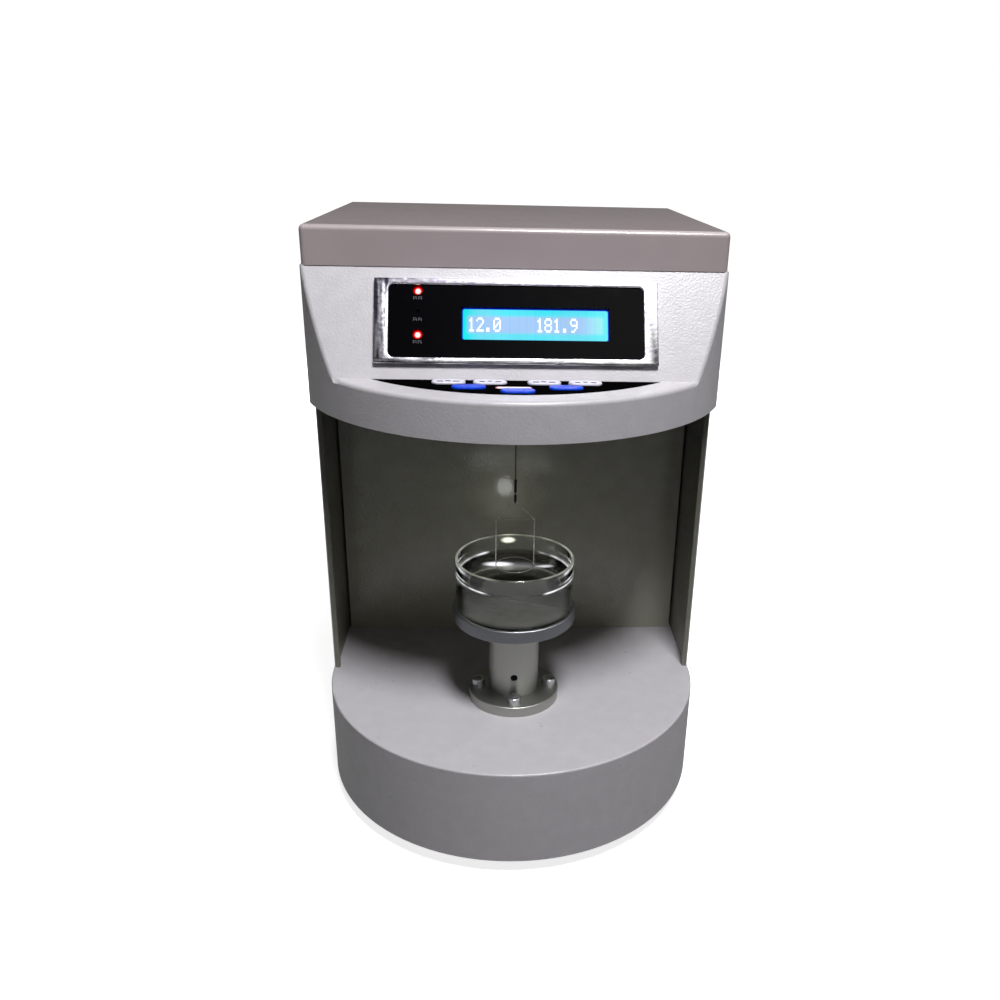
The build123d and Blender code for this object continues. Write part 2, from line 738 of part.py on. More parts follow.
key_top = overlay_top + key_proud
for name, place in key_places.items():
    with BuildPart() as key:
        with BuildSketch(Plane.XY.offset(overlay_bottom)):
            with Locations(place):
                SlotOverall(key_length, key_width)
        extrude(amount=key_top - overlay_bottom)
        fillet(key.faces().sort_by(Axis.Z)[-1].edges(), key_edge_radius)
        # Flange that stops the key under the overlay, and the stem that presses the switch.
        with BuildSketch(Plane.XY.offset(overlay_bottom)):
            with Locations(place):
                SlotOverall(key_length + 2 * key_flange, key_width + 2 * key_flange)
        extrude(amount=-key_flange)
        with BuildSketch(Plane.XY.offset(overlay_bottom)):
            with Locations(place):
                Circle(key_stem_radius)
        extrude(amount=board_top + switch_height + key_travel + thread_gap - overlay_bottom)
    key.part.label = name
    export_step(key.part, f"parts/{name}.step")

# ---------------------------------------------------------------------------------------------
# Stage: flanged sleeve, stem, lift motor and lead screw
# ---------------------------------------------------------------------------------------------

plate_top = base_top - sheet
plate_bottom = plate_top - motor_plate_thickness
motor_top = plate_bottom
boss_top = motor_top + motor_boss_height
stem_bottom = boss_top + nut_clearance + nut_flange_thickness
platform_bottom = base_top + sleeve_height + platform_gap
screw_bottom = motor_top - screw_seat
screw_top = stem_bottom + nut_length + lift_travel + screw_end
dog_z = stem_bottom + lift_travel + dog_radius + keyway_lap
sleeve_top = base_top + sleeve_height

with BuildPart() as stage_sleeve:
    with BuildSketch(Plane.XY.offset(base_top)):
        with Locations((0, stage_y)):
            Circle(sleeve_flange_radius)
    extrude(amount=sleeve_flange_thickness)
    fillet(stage_sleeve.edges().sort_by(Axis.Z)[-1], sleeve_edge)
    with BuildSketch(Plane.XY.offset(base_top)):
        with Locations((0, stage_y)):
            Circle(sleeve_radius)
    extrude(amount=sleeve_height)
    chamfer(stage_sleeve.edges().sort_by(Axis.Z)[-1], sleeve_edge)
    with Locations((0, stage_y, sleeve_top)):
        Hole(sleeve_bore_radius, sleeve_height)
    with Locations((0, stage_y, base_top + sleeve_flange_thickness)):
        with PolarLocations(sleeve_screw_circle, 4):
            Hole(sleeve_screw_radius + thread_gap, sleeve_flange_thickness)
    with Locations(Plane(origin=(0, stage_y - sleeve_radius, dog_z), z_dir=(0, -1, 0))):
        Hole(set_screw_radius + thread_gap, sleeve_radius - stem_radius)
stage_sleeve.part.label = "stage_sleeve"
export_step(stage_sleeve.part, "parts/stage_sleeve.step")

with BuildPart() as guide_bush:
    with BuildSketch(Plane.XY.offset(base_top + sleeve_flange_thickness)):
        with Locations((0, stage_y)):
            Circle(sleeve_bore_radius)
            Circle(stem_radius + running_gap, mode=Mode.SUBTRACT)
    extrude(amount=sleeve_height - sleeve_flange_thickness - sleeve_edge)
    with Locations(Plane(origin=(0, stage_y - sleeve_bore_radius, dog_z), z_dir=(0, -1, 0))):
        Hole(set_screw_radius + thread_gap, 2 * bush_wall)
guide_bush.part.label = "guide_bush"
export_step(guide_bush.part, "parts/guide_bush.step")

with BuildPart() as sleeve_screws:
    head_z = base_top + sleeve_flange_thickness
    with Locations((0, stage_y, head_z)):
        with PolarLocations(sleeve_screw_circle, 4):
            Cylinder(sleeve_screw_radius, head_z - plate_bottom,
                     align=(Align.CENTER, Align.CENTER, Align.MAX))
            Cylinder(sleeve_screw_head, 2 * sleeve_screw_radius,
                     align=(Align.CENTER, Align.CENTER, Align.MIN))
    chamfer(sleeve_screws.faces().group_by(Axis.Z)[-1].edges(), slip_gap)
    with BuildSketch(Plane.XY.offset(head_z + 2 * sleeve_screw_radius)):
        with Locations((0, stage_y)):
            with PolarLocations(sleeve_screw_circle, 4):
                RegularPolygon(sleeve_screw_socket, 6)
    extrude(amount=-socket_depth, mode=Mode.SUBTRACT)
sleeve_screws.part.label = "sleeve_screws"
export_step(sleeve_screws.part, "parts/sleeve_screws.step")

with BuildPart() as sleeve_set_screw:
    screw_head_y = stage_y - sleeve_radius + set_screw_recess
    screw_shoulder_y = stage_y - stem_radius - running_gap - slip_gap
    dog_tip_y = stage_y - stem_radius + keyway_depth - slip_gap
    with Locations(Plane(origin=(0, screw_head_y, dog_z), z_dir=(0, 1, 0))):
        Cylinder(set_screw_radius, screw_shoulder_y - screw_head_y,
                 align=(Align.CENTER, Align.CENTER, Align.MIN))
        Cylinder(dog_radius, dog_tip_y - screw_head_y,
                 align=(Align.CENTER, Align.CENTER, Align.MIN))
    with BuildSketch(Plane(origin=(0, screw_head_y, dog_z), z_dir=(0, -1, 0))):
        RegularPolygon(set_screw_socket, 6)
    extrude(amount=-set_screw_socket, mode=Mode.SUBTRACT)
sleeve_set_screw.part.label = "sleeve_set_screw"
export_step(sleeve_set_screw.part, "parts/sleeve_set_screw.step")

with BuildPart() as stage_stem:
    with BuildSketch(Plane.XY.offset(stem_bottom)):
        with Locations((0, stage_y)):
            Circle(stem_radius)
    extrude(amount=platform_bottom - stem_bottom)
    with BuildSketch(Plane.XY.offset(platform_bottom)):
        with Locations((0, stage_y)):
            Circle(spigot_radius)
    extrude(amount=spigot_height)
    with BuildSketch(Plane.XY.offset(stem_bottom)):
        with Locations((0, stage_y)):
            Circle(stem_bore_radius)
    extrude(amount=screw_top + screw_end - stem_bottom, mode=Mode.SUBTRACT)
    # Keyway for the set screw's tip, open at the lower end.
    with BuildSketch(Plane.XY.offset(stem_bottom)):
        with Locations((0, stage_y - stem_radius)):
            Rectangle(2 * (dog_radius + keyway_gap), 2 * keyway_depth)
    extrude(amount=dog_z + dog_radius + keyway_lap - stem_bottom, mode=Mode.SUBTRACT)
stage_stem.part.label = "stage_stem"
export_step(stage_stem.part, "parts/stage_stem.step")

with BuildPart() as lift_nut:
    with BuildSketch(Plane.XY.offset(stem_bottom)):
        with Locations((0, stage_y)):
            Circle(nut_flange_radius)
    extrude(amount=-nut_flange_thickness)
    with BuildSketch(Plane.XY.offset(stem_bottom)):
        with Locations((0, stage_y)):
            Circle(stem_bore_radius)
    extrude(amount=nut_length)
    with BuildSketch(Plane.XY.offset(stem_bottom - nut_flange_thickness)):
        with Locations((0, stage_y)):
            Circle(screw_radius + running_gap)
    extrude(amount=nut_length + nut_flange_thickness, mode=Mode.SUBTRACT)
lift_nut.part.label = "lift_nut"
export_step(lift_nut.part, "parts/lift_nut.step")

with BuildPart() as lead_screw:
    with BuildSketch(Plane.XY.offset(screw_bottom)):
        with Locations((0, stage_y)):
            Circle(screw_radius)
    extrude(amount=screw_top - screw_bottom)
    chamfer(lead_screw.edges().sort_by(Axis.Z)[-1], sleeve_edge)
lead_screw.part.label = "lead_screw"
export_step(lead_screw.part, "parts/lead_screw.step")

with BuildPart() as motor_plate:
    with BuildSketch(Plane.XY.offset(plate_bottom)):
        with Locations((0, stage_y)):
            RectangleRounded(motor_plate_size, motor_plate_size, motor_corner)
            Circle(motor_boss_radius + thread_gap, mode=Mode.SUBTRACT)
            with PolarLocations(sleeve_screw_circle, 4):
                Circle(sleeve_screw_radius + thread_gap, mode=Mode.SUBTRACT)
    extrude(amount=motor_plate_thickness)
    with Locations((0, stage_y, plate_top)):
        with GridLocations(motor_hole_spacing, motor_hole_spacing, 2, 2):
            CounterSinkHole(motor_screw_radius + thread_gap, 2 * motor_screw_radius + thread_gap,
                            motor_plate_thickness)
motor_plate.part.label = "motor_plate"
export_step(motor_plate.part, "parts/motor_plate.step")

with BuildPart() as motor_screws:
    with Locations((0, stage_y, plate_top)):
        with GridLocations(motor_hole_spacing, motor_hole_spacing, 2, 2):
            Cylinder(motor_screw_radius, motor_plate_thickness + motor_screw_grip,
                     align=(Align.CENTER, Align.CENTER, Align.MAX))
            Cone(motor_screw_radius, 2 * motor_screw_radius, motor_screw_radius,
                 align=(Align.CENTER, Align.CENTER, Align.MAX))
motor_screws.part.label = "motor_screws"
export_step(motor_screws.part, "parts/motor_screws.step")

with BuildPart() as lift_motor:
    with BuildSketch(Plane.XY.offset(motor_top)):
        with Locations((0, stage_y)):
            Rectangle(motor_width, motor_width)
    extrude(amount=-motor_height)
    chamfer(lift_motor.edges().filter_by(Axis.Z), motor_corner)
    with BuildSketch(Plane.XY.offset(motor_top)):
        with Locations((0, stage_y)):
            Circle(motor_boss_radius)
    extrude(amount=motor_boss_height)
    with Locations((0, stage_y, motor_top)):
        with GridLocations(motor_hole_spacing, motor_hole_spacing, 2, 2):
            Hole(motor_screw_radius + thread_gap, motor_screw_grip + sleeve_edge)
    with BuildSketch(Plane.XY.offset(boss_top)):
        with Locations((0, stage_y)):
            Circle(screw_radius + running_gap)
    extrude(amount=screw_bottom - boss_top, mode=Mode.SUBTRACT)
lift_motor.part.label = "lift_motor"
export_step(lift_motor.part, "parts/lift_motor.step")

with BuildPart() as platform:
    with BuildSketch(Plane.XY.offset(platform_bottom)):
        with Locations((0, stage_y)):
            Circle(platform_radius)
            Circle(spigot_radius, mode=Mode.SUBTRACT)
    extrude(amount=platform_thickness)
    with BuildSketch(Plane.XY.offset(seat_top)):
        with Locations((0, stage_y)):
            Circle(dish_radius + slip_gap)
    extrude(amount=seat_depth, mode=Mode.SUBTRACT)
    with BuildSketch(Plane.XY.offset(seat_top)):
        with Locations((0, stage_y)):
            Circle(spigot_radius)
    extrude(amount=platform_bottom + spigot_height - seat_top)
    outer_edges = platform.edges().filter_by(GeomType.CIRCLE).group_by(SortBy.RADIUS)[-1]
    fillet(outer_edges, sleeve_edge)
platform.part.label = "platform"
export_step(platform.part, "parts/platform.step")

with BuildPart() as dish:
    with BuildSketch(Plane.XY.offset(seat_top)):
        with Locations((0, stage_y)):
            Circle(dish_radius)
    extrude(amount=dish_height)
    fillet(dish.edges().sort_by(Axis.Z)[0], dish_corner)
    with BuildSketch(Plane.XY.offset(seat_top + dish_floor)):
        with Locations((0, stage_y)):
            Circle(dish_radius - dish_wall)
    extrude(amount=dish_height - dish_floor, mode=Mode.SUBTRACT)
    floor_edge = dish.edges().filter_by_position(Axis.Z, seat_top + dish_floor, seat_top + dish_floor)
    fillet(floor_edge, dish_corner - dish_wall)
    fillet(dish.edges().group_by(Axis.Z)[-1], dish_wall / 2 - thread_gap)
dish.part.label = "dish"
export_step(dish.part, "parts/dish.step")

# ---------------------------------------------------------------------------------------------
# Ring and hanging rod
# ---------------------------------------------------------------------------------------------

ring_z = base_top + ring_height
cross_z = ring_z + stirrup_height
apex_z = cross_z + cross_bar_to_apex
upper_collet_z = apex_z + lower_collet_length + collet_gap
hook_z = head_bottom + hook_rise
ring_plan = Plane(origin=(0, stage_y, ring_z))

with BuildPart() as du_nouy_ring:
    with Locations(Location(ring_plan)):
        Torus(ring_radius, ring_wire)
    # Legs, cross bar and the two slanting wires that carry them.
    for side in (-1, 1):
        with Locations((side * ring_radius, stage_y, ring_z)):
            Cylinder(ring_wire, stirrup_height + ring_wire, align=(Align.CENTER, Align.CENTER, Align.MIN))
        slant = Plane(origin=(0, stage_y, apex_z), z_dir=(side * ring_radius, 0, cross_z - apex_z))
        with Locations(Location(slant)):
            Cylinder(ring_wire, sqrt(ring_radius**2 + cross_bar_to_apex**2),
                     align=(Align.CENTER, Align.CENTER, Align.MIN))
    with Locations(Location((0, stage_y, cross_z), (0, 90, 0))):
        Cylinder(ring_wire, 2 * ring_radius)
    with Locations((0, stage_y, apex_z - collet_radius)):
        Cylinder(collet_radius, lower_collet_length + collet_radius,
                 align=(Align.CENTER, Align.CENTER, Align.MIN))
du_nouy_ring.part.label = "du_nouy_ring"
export_step(du_nouy_ring.part, "parts/du_nouy_ring.step")

with BuildPart() as hanging_rod:
    with Locations((0, stage_y, apex_z + lower_collet_length)):
        Cylinder(rod_wire, hook_z - eye_radius - apex_z - lower_collet_length,
                 align=(Align.CENTER, Align.CENTER, Align.MIN))
    with Locations((0, stage_y, upper_collet_z)):
        Cylinder(collet_radius, upper_collet_length, align=(Align.CENTER, Align.CENTER, Align.MIN))
    with Locations(Location((0, stage_y, hook_z), (90, 0, 0))):
        Torus(eye_radius, rod_wire)
hanging_rod.part.label = "hanging_rod"
export_step(hanging_rod.part, "parts/hanging_rod.step")

# ---------------------------------------------------------------------------------------------
# Force sensor: base, beam on its pivot, coil in the magnet, position sensor
# ---------------------------------------------------------------------------------------------

pivot_y = stage_y + pivot_setback
coil_y = stage_y + coil_setback
flag_y = coil_y + flag_setback
beam_low_z = floor_top + beam_low_rise
beam_high_z = floor_top + beam_high_rise
beam_front = stage_y + beam_front_gap
pivot_z = (beam_low_z + beam_high_z) / 2
plate_z = floor_top + sensor_plate_thickness
half_beam = beam_thickness / 2
half_riser = beam_riser / 2
beam_rear = flag_y + flag_length / 2
cheek_x = beam_width / 2 + cheek_gap
coil_gap_radius = coil_outer_radius + magnet_gap
hook_pin_z = hook_z + eye_radius - rod_wire - hook_pin_radius - thread_gap

with BuildPart() as sensor_base:
    with BuildSketch(Plane.XY.offset(floor_top)):
        with Locations((0, pivot_y - sensor_plate_margin)):
            Rectangle(sensor_plate_width, beam_rear - pivot_y + 2 * sensor_plate_margin,
                      align=(Align.CENTER, Align.MIN))
    extrude(amount=sensor_plate_thickness)
    with BuildSketch(Plane.XY.offset(plate_z)):
        for side in (-1, 1):
            with Locations((side * (cheek_x + cheek_thickness / 2), pivot_y)):
                Rectangle(cheek_thickness, cheek_depth)
    extrude(amount=pivot_z + cheek_cap - plate_z)
    with Locations(Location((0, pivot_y, pivot_z), (0, 90, 0))):
        Cylinder(pivot_radius, 2 * (cheek_x + cheek_thickness), mode=Mode.SUBTRACT)
sensor_base.part.label = "sensor_base"
export_step(sensor_base.part, "parts/sensor_base.step")

with BuildPart() as beam_pivot:
    with Locations(Location((0, pivot_y, pivot_z), (0, 90, 0))):
        Cylinder(pivot_radius, 2 * (cheek_x + cheek_thickness))
beam_pivot.part.label = "beam_pivot"
export_step(beam_pivot.part, "parts/beam_pivot.step")

with BuildPart() as balance_beam:
    with BuildSketch(Plane.YZ.offset(-beam_width / 2)):
        with BuildLine():
            Polyline(
                (beam_front, beam_low_z - half_beam),
                (pivot_y + half_riser, beam_low_z - half_beam),
                (pivot_y + half_riser, beam_high_z - half_beam),
                (beam_rear, beam_high_z - half_beam),
                (beam_rear, beam_high_z + half_beam),
                (pivot_y - half_riser, beam_high_z + half_beam),
                (pivot_y - half_riser, beam_low_z + half_beam),
                (beam_front, beam_low_z + half_beam),
                close=True,
            )
        make_face()
    extrude(amount=beam_width)
    # Flag that the position sensor reads.
    with BuildSketch(Plane.XY.offset(beam_high_z - half_beam)):
        with Locations((0, flag_y)):
            Rectangle(flag_width, flag_length)
    extrude(amount=-flag_drop)
    with Locations(Location((0, pivot_y, pivot_z), (0, 90, 0))):
        Cylinder(pivot_radius + running_gap, 2 * beam_width, mode=Mode.SUBTRACT)
balance_beam.part.label = "balance_beam"
export_step(balance_beam.part, "parts/balance_beam.step")

with BuildPart() as beam_hook:
    hook_top = beam_low_z - half_beam
    hook_bottom = hook_pin_z - 2 * hook_pin_radius
    with BuildSketch(Plane.XY.offset(hook_bottom)):
        with Locations((0, beam_front)):
            Rectangle(hook_width, hook_thickness, align=(Align.CENTER, Align.MIN))
    extrude(amount=hook_top - hook_bottom)
    with Locations(Location((0, beam_front, hook_pin_z), (90, 0, 0))):
        Cylinder(hook_pin_radius, hook_pin_length, align=(Align.CENTER, Align.CENTER, Align.MIN))
beam_hook.part.label = "beam_hook"
export_step(beam_hook.part, "parts/beam_hook.step")

with BuildPart() as drive_coil:
    coil_top = beam_high_z - half_beam
    with BuildSketch(Plane.XY.offset(coil_top)):
        with Locations((0, coil_y)):
            Circle(coil_outer_radius)
    extrude(amount=-coil_plate)
    with BuildSketch(Plane.XY.offset(coil_top - coil_plate)):
        with Locations((0, coil_y)):
            Circle(coil_outer_radius)
            Circle(coil_inner_radius, mode=Mode.SUBTRACT)
    extrude(amount=-coil_height)
drive_coil.part.label = "drive_coil"
export_step(drive_coil.part, "parts/drive_coil.step")

with BuildPart() as magnet_pot:
    with BuildSketch(Plane.XY.offset(plate_z)):
        with Locations((0, coil_y)):
            Circle(coil_gap_radius + magnet_wall)
    extrude(amount=magnet_height)
    with BuildSketch(Plane.XY.offset(plate_z + magnet_wall)):
        with Locations((0, coil_y)):
            Circle(coil_gap_radius)
            Circle(pole_radius, mode=Mode.SUBTRACT)
    extrude(amount=magnet_height - magnet_wall, mode=Mode.SUBTRACT)
magnet_pot.part.label = "magnet_pot"
export_step(magnet_pot.part, "parts/magnet_pot.step")

with BuildPart() as position_sensor:
    fork_top = beam_high_z - half_beam - fork_top_gap
    with BuildSketch(Plane.XY.offset(plate_z)):
        with Locations((0, flag_y)):
            Rectangle(fork_width, flag_length)
    extrude(amount=fork_top - plate_z)
    with BuildSketch(Plane.XY.offset(fork_top)):
        with Locations((0, flag_y)):
            Rectangle(flag_width + 2 * fork_gap, 2 * flag_length)
    extrude(amount=-fork_slot_depth, mode=Mode.SUBTRACT)
position_sensor.part.label = "position_sensor"
export_step(position_sensor.part, "parts/position_sensor.step")

# ---------------------------------------------------------------------------------------------
# Electronics and rear connectors
# ---------------------------------------------------------------------------------------------

board_plane = Plane(origin=(0, panel_rear, base_top + board_rise), x_dir=(1, 0, 0), z_dir=(0, -1, 0))

with BuildPart() as main_board:
    with BuildSketch(board_plane.offset(-standoff_length)):
        Rectangle(main_board_width, main_board_height)
    extrude(amount=-board_thickness)
main_board.part.label = "main_board"
export_step(main_board.part, "parts/main_board.step")

# Identical hexagonal standoffs carry the main, display and keypad boards.
keypad_post_x = keypad_outline(0).bounding_box().max.X - keypad_post_inset
keypad_front_post_y = keypad_outline(0).bounding_box().min.Y + keypad_front_post_inset
keypad_posts = [(x, keypad_back - keypad_post_row) for x in (-keypad_post_x, keypad_post_x)]
keypad_posts += [(x, keypad_front_post_y) for x in (-keypad_front_post_x, keypad_front_post_x)]
with BuildPart() as board_standoffs:
    with BuildSketch(board_plane):
        with GridLocations(main_board_width - 2 * board_margin, main_board_height - 2 * board_margin, 2, 2):
            RegularPolygon(standoff_radius, 6)
    extrude(amount=-standoff_length)
    with BuildSketch(fascia.offset(-thin_sheet)):
        with Locations(window_middle):
            with GridLocations(cutout_width + board_margin, display_board_height - board_margin, 2, 2):
                RegularPolygon(standoff_radius, 6)
    extrude(amount=-standoff_length)
    with BuildSketch(Plane.XY.offset(overlay_bottom)):
        with Locations(*keypad_posts):
            RegularPolygon(standoff_radius, 6)
    extrude(amount=-standoff_length)
board_standoffs.part.label = "board_standoffs"
export_step(board_standoffs.part, "parts/board_standoffs.step")

transformer_x = wall_inside - transformer_margin - transformer_width / 2
with BuildPart() as transformer:
    with Locations((transformer_x, panel_rear + transformer_setback, base_top)):
        Box(transformer_width, core_share * transformer_depth, transformer_height,
            align=(Align.CENTER, Align.CENTER, Align.MIN))
        with Locations((0, 0, core_margin)):
            Box(winding_width, transformer_depth, transformer_height - 2 * core_margin,
                align=(Align.CENTER, Align.CENTER, Align.MIN))
transformer.part.label = "transformer"
export_step(transformer.part, "parts/transformer.step")

inlet_middle = (-inlet_x, connector_rise)
plug_middle = (-inlet_x, connector_rise - plug_drop)
drawer_middle = (-inlet_x, connector_rise + drawer_rise)
with BuildPart() as iec_inlet:
    with BuildSketch(rear_face):
        with Locations(inlet_middle):
            RectangleRounded(inlet_flange_width, inlet_flange_height, inlet_corner)
    extrude(amount=inlet_flange_thickness)
    with BuildSketch(rear_face):
        with Locations(inlet_middle):
            Rectangle(inlet_body_width - slip_gap, inlet_body_height - slip_gap)
    extrude(amount=-inlet_body_depth)
    with BuildSketch(rear_face.offset(inlet_flange_thickness)):
        with Locations(plug_middle):
            Rectangle(plug_width, plug_height)
    extrude(amount=-plug_depth, mode=Mode.SUBTRACT)
    with BuildSketch(rear_face.offset(inlet_flange_thickness)):
        with Locations(drawer_middle):
            Rectangle(drawer_width + 2 * slip_gap, drawer_height + 2 * slip_gap)
    extrude(amount=-drawer_depth - slip_gap, mode=Mode.SUBTRACT)
    with Locations(rear_face.offset(inlet_flange_thickness)):
        with Locations(inlet_middle):
            with GridLocations(inlet_screw_spacing, 1, 2, 1):
                CounterSinkHole(inlet_screw_radius, 2 * inlet_screw_radius, inlet_flange_thickness)
iec_inlet.part.label = "iec_inlet"
export_step(iec_inlet.part, "parts/iec_inlet.step")

with BuildPart() as inlet_pins:
    with BuildSketch(rear_face.offset(inlet_flange_thickness - plug_depth)):
        with Locations(plug_middle):
            with Locations((0, earth_pin_rise)):
                Rectangle(inlet_pin_width, inlet_pin_height)
            with Locations((0, -live_pin_drop)):
                with GridLocations(2 * inlet_pin_x, 1, 2, 1):
                    Rectangle(inlet_pin_width, inlet_pin_height)
    extrude(amount=plug_depth - inlet_pin_recess)
inlet_pins.part.label = "inlet_pins"
export_step(inlet_pins.part, "parts/inlet_pins.step")

with BuildPart() as fuse_drawer:
    with BuildSketch(rear_face.offset(inlet_flange_thickness + drawer_proud)):
        with Locations(drawer_middle):
            Rectangle(drawer_width, drawer_height)
    extrude(amount=-drawer_depth - drawer_proud)
    # Finger notch under the drawer's front.
    with BuildSketch(rear_face.offset(inlet_flange_thickness + drawer_proud)):
        with Locations(drawer_middle):
            with Locations((0, -drawer_height / 2)):
                Rectangle(notch_width, 2 * notch_height)
    extrude(amount=-notch_depth, mode=Mode.SUBTRACT)
fuse_drawer.part.label = "fuse_drawer"
export_step(fuse_drawer.part, "parts/fuse_drawer.step")

switch_middle = (-switch_x, connector_rise)
switch_z = base_top + connector_rise
rocker_arc = rocker_height / 2
with BuildPart() as power_switch:
    with BuildSketch(rear_face):
        with Locations(switch_middle):
            RectangleRounded(switch_outer_width + 2 * switch_lip, switch_outer_height + 2 * switch_lip,
                             switch_wall)
    extrude(amount=switch_frame)
    with BuildSketch(rear_face):
        with Locations(switch_middle):
            Rectangle(switch_outer_width - slip_gap, switch_outer_height - slip_gap)
    extrude(amount=-switch_depth)
    with BuildSketch(rear_face.offset(switch_frame)):
        with Locations(switch_middle):
            Rectangle(rocker_width + slip_gap, rocker_height + slip_gap)
    extrude(amount=-switch_frame - rocker_depth - switch_floor_gap, mode=Mode.SUBTRACT)
    with Locations(Location((switch_x, rear_y, switch_z), (0, 90, 0))):
        Cylinder(trunnion_radius + running_gap, rocker_width + 2 * trunnion_length + slip_gap,
                 mode=Mode.SUBTRACT)
power_switch.part.label = "power_switch"
export_step(power_switch.part, "parts/power_switch.step")

half_swing = tan(radians(rocker_swing / 2))
rocker_face = switch_frame + slip_gap
with BuildPart() as switch_rocker:
    rocker_side = (switch_x - rocker_width / 2, rear_y, switch_z)
    with BuildSketch(Plane(origin=rocker_side, x_dir=(0, 1, 0), z_dir=(1, 0, 0))):
        Circle(rocker_arc)
        with BuildLine():
            Polyline(
                (-rocker_depth, -rocker_arc),
                (rocker_face + rocker_arc * half_swing, -rocker_arc),
                (rocker_face, 0),
                (rocker_face + rocker_arc * half_swing, rocker_arc),
                (-rocker_depth, rocker_arc),
                close=True,
            )
        make_face(mode=Mode.INTERSECT)
    extrude(amount=rocker_width)
    with Locations(Location((switch_x, rear_y, switch_z), (0, 90, 0))):
        Cylinder(trunnion_radius, rocker_width + 2 * trunnion_length)
# Turned from its middle position to "on".
rocker_on = switch_rocker.part.rotate(Axis((switch_x, rear_y, switch_z), (1, 0, 0)), rocker_swing / 2)
rocker_on.label = "switch_rocker"
export_step(rocker_on, "parts/switch_rocker.step")

port_middle = (-port_x, connector_rise)
with BuildPart() as serial_port:
    shell_front = connector_reach - port_recess
    with BuildSketch(rear_face.offset(-thin_sheet)):
        with Locations(port_middle):
            Rectangle(port_width, port_height)
    extrude(amount=-port_body_depth)
    with BuildSketch(rear_face.offset(-thin_sheet)):
        with Locations(port_middle):
            Trapezoid(port_shell_width, port_shell_height, port_shell_slope, rotation=180)
    extrude(amount=thin_sheet + shell_front)
    with BuildSketch(rear_face.offset(shell_front)):
        with Locations(port_middle):
            Trapezoid(port_shell_width - 2 * port_shell_wall, port_shell_height - 2 * port_shell_wall,
                      port_shell_slope, rotation=180)
    extrude(amount=-connector_reach, mode=Mode.SUBTRACT)
    # Five pins above four.
    with BuildSketch(rear_face.offset(shell_front - connector_reach)):
        with Locations(port_middle):
            for side, count in ((1, 5), (-1, 4)):
                with Locations((0, side * port_pin_rows / 2)):
                    with GridLocations(port_pin_pitch, 1, count, 1):
                        Circle(port_pin_radius)
    extrude(amount=connector_reach - port_shell_wall)
    # Two hexagonal nuts on studs, which a plug's screws go into.
    with BuildSketch(rear_face):
        with Locations(port_middle):
            with GridLocations(port_nut_spacing, 1, 2, 1):
                RegularPolygon(port_nut_radius, 6)
    extrude(amount=connector_reach)
    with BuildSketch(rear_face.offset(-thin_sheet)):
        with Locations(port_middle):
            with GridLocations(port_nut_spacing, 1, 2, 1):
                Circle(port_stud_radius)
    extrude(amount=thin_sheet)
    with BuildSketch(rear_face.offset(connector_reach)):
        with Locations(port_middle):
            with GridLocations(port_nut_spacing, 1, 2, 1):
                Circle(port_thread_radius)
    extrude(amount=-connector_reach, mode=Mode.SUBTRACT)
serial_port.part.label = "serial_port"
export_step(serial_port.part, "parts/serial_port.step")
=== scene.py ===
import json
import math

import bpy
from mathutils import Matrix, Vector


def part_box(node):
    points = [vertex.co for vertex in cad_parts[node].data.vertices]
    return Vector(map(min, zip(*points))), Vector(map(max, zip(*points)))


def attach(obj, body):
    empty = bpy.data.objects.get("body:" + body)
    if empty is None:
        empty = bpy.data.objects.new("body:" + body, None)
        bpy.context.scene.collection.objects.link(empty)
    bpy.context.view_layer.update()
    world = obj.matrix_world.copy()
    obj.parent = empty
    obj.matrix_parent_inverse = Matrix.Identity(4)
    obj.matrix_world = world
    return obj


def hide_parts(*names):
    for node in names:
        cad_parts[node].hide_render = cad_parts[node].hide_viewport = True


bl_info = {
    "name": "Surface Tensiometer",
    "version": (1, 0, 0),
    "blender": (4, 5, 0),
    "location": "View3D > Sidebar > Tensiometer",
    "description": "Finishes and fine pieces of a bench surface tensiometer",
    "category": "Object",
}

MM = 0.001
PER_MM = 1000.0

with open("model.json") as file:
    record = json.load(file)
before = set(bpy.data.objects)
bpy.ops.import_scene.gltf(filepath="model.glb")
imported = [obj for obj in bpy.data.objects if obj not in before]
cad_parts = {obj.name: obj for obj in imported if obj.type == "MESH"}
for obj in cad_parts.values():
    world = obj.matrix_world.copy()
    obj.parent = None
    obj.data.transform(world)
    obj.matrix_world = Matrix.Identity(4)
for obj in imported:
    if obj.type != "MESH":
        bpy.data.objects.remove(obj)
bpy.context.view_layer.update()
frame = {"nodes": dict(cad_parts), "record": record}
nodes = frame["nodes"]

# Places read from the solids, in millimetres.
platform_low, platform_high = (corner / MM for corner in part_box("platform"))
dish_low, dish_high = (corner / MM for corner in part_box("dish"))
window_low, window_high = (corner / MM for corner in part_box("display_window"))
ring_low, ring_high = (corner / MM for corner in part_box("du_nouy_ring"))
stage_y = (platform_low.y + platform_high.y) / 2
dish_radius = (dish_high.x - dish_low.x) / 2

# The fascia leans back from its lower edge to its top edge.
FASCIA_LEAN = math.radians(29.5)
fascia_top = (stage_y + 21.0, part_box("head_shell")[1].z / MM)

# Opening of the chromed frame and the radius of its corners.
FRAME_OPENING = (118.0, 34.6)
FRAME_CORNER = 2.4

# From the left end of the lit screen to its first character.
DIGIT_MARGIN = 1.98


# ---- Colours and nodes ----


def linear(hex_colour):
    """The linear colour of an sRGB hex value."""
    channels = [int(hex_colour[i:i + 2], 16) / 255 for i in (1, 3, 5)]
    return tuple(c / 12.92 if c <= 0.04045 else ((c + 0.055) / 1.055) ** 2.4 for c in channels) + (1.0,)


def socket(source):
    """A socket as it is, or the first output that a node shows."""
    if isinstance(source, bpy.types.NodeSocket):
        return source
    return next(output for output in source.outputs if output.enabled)


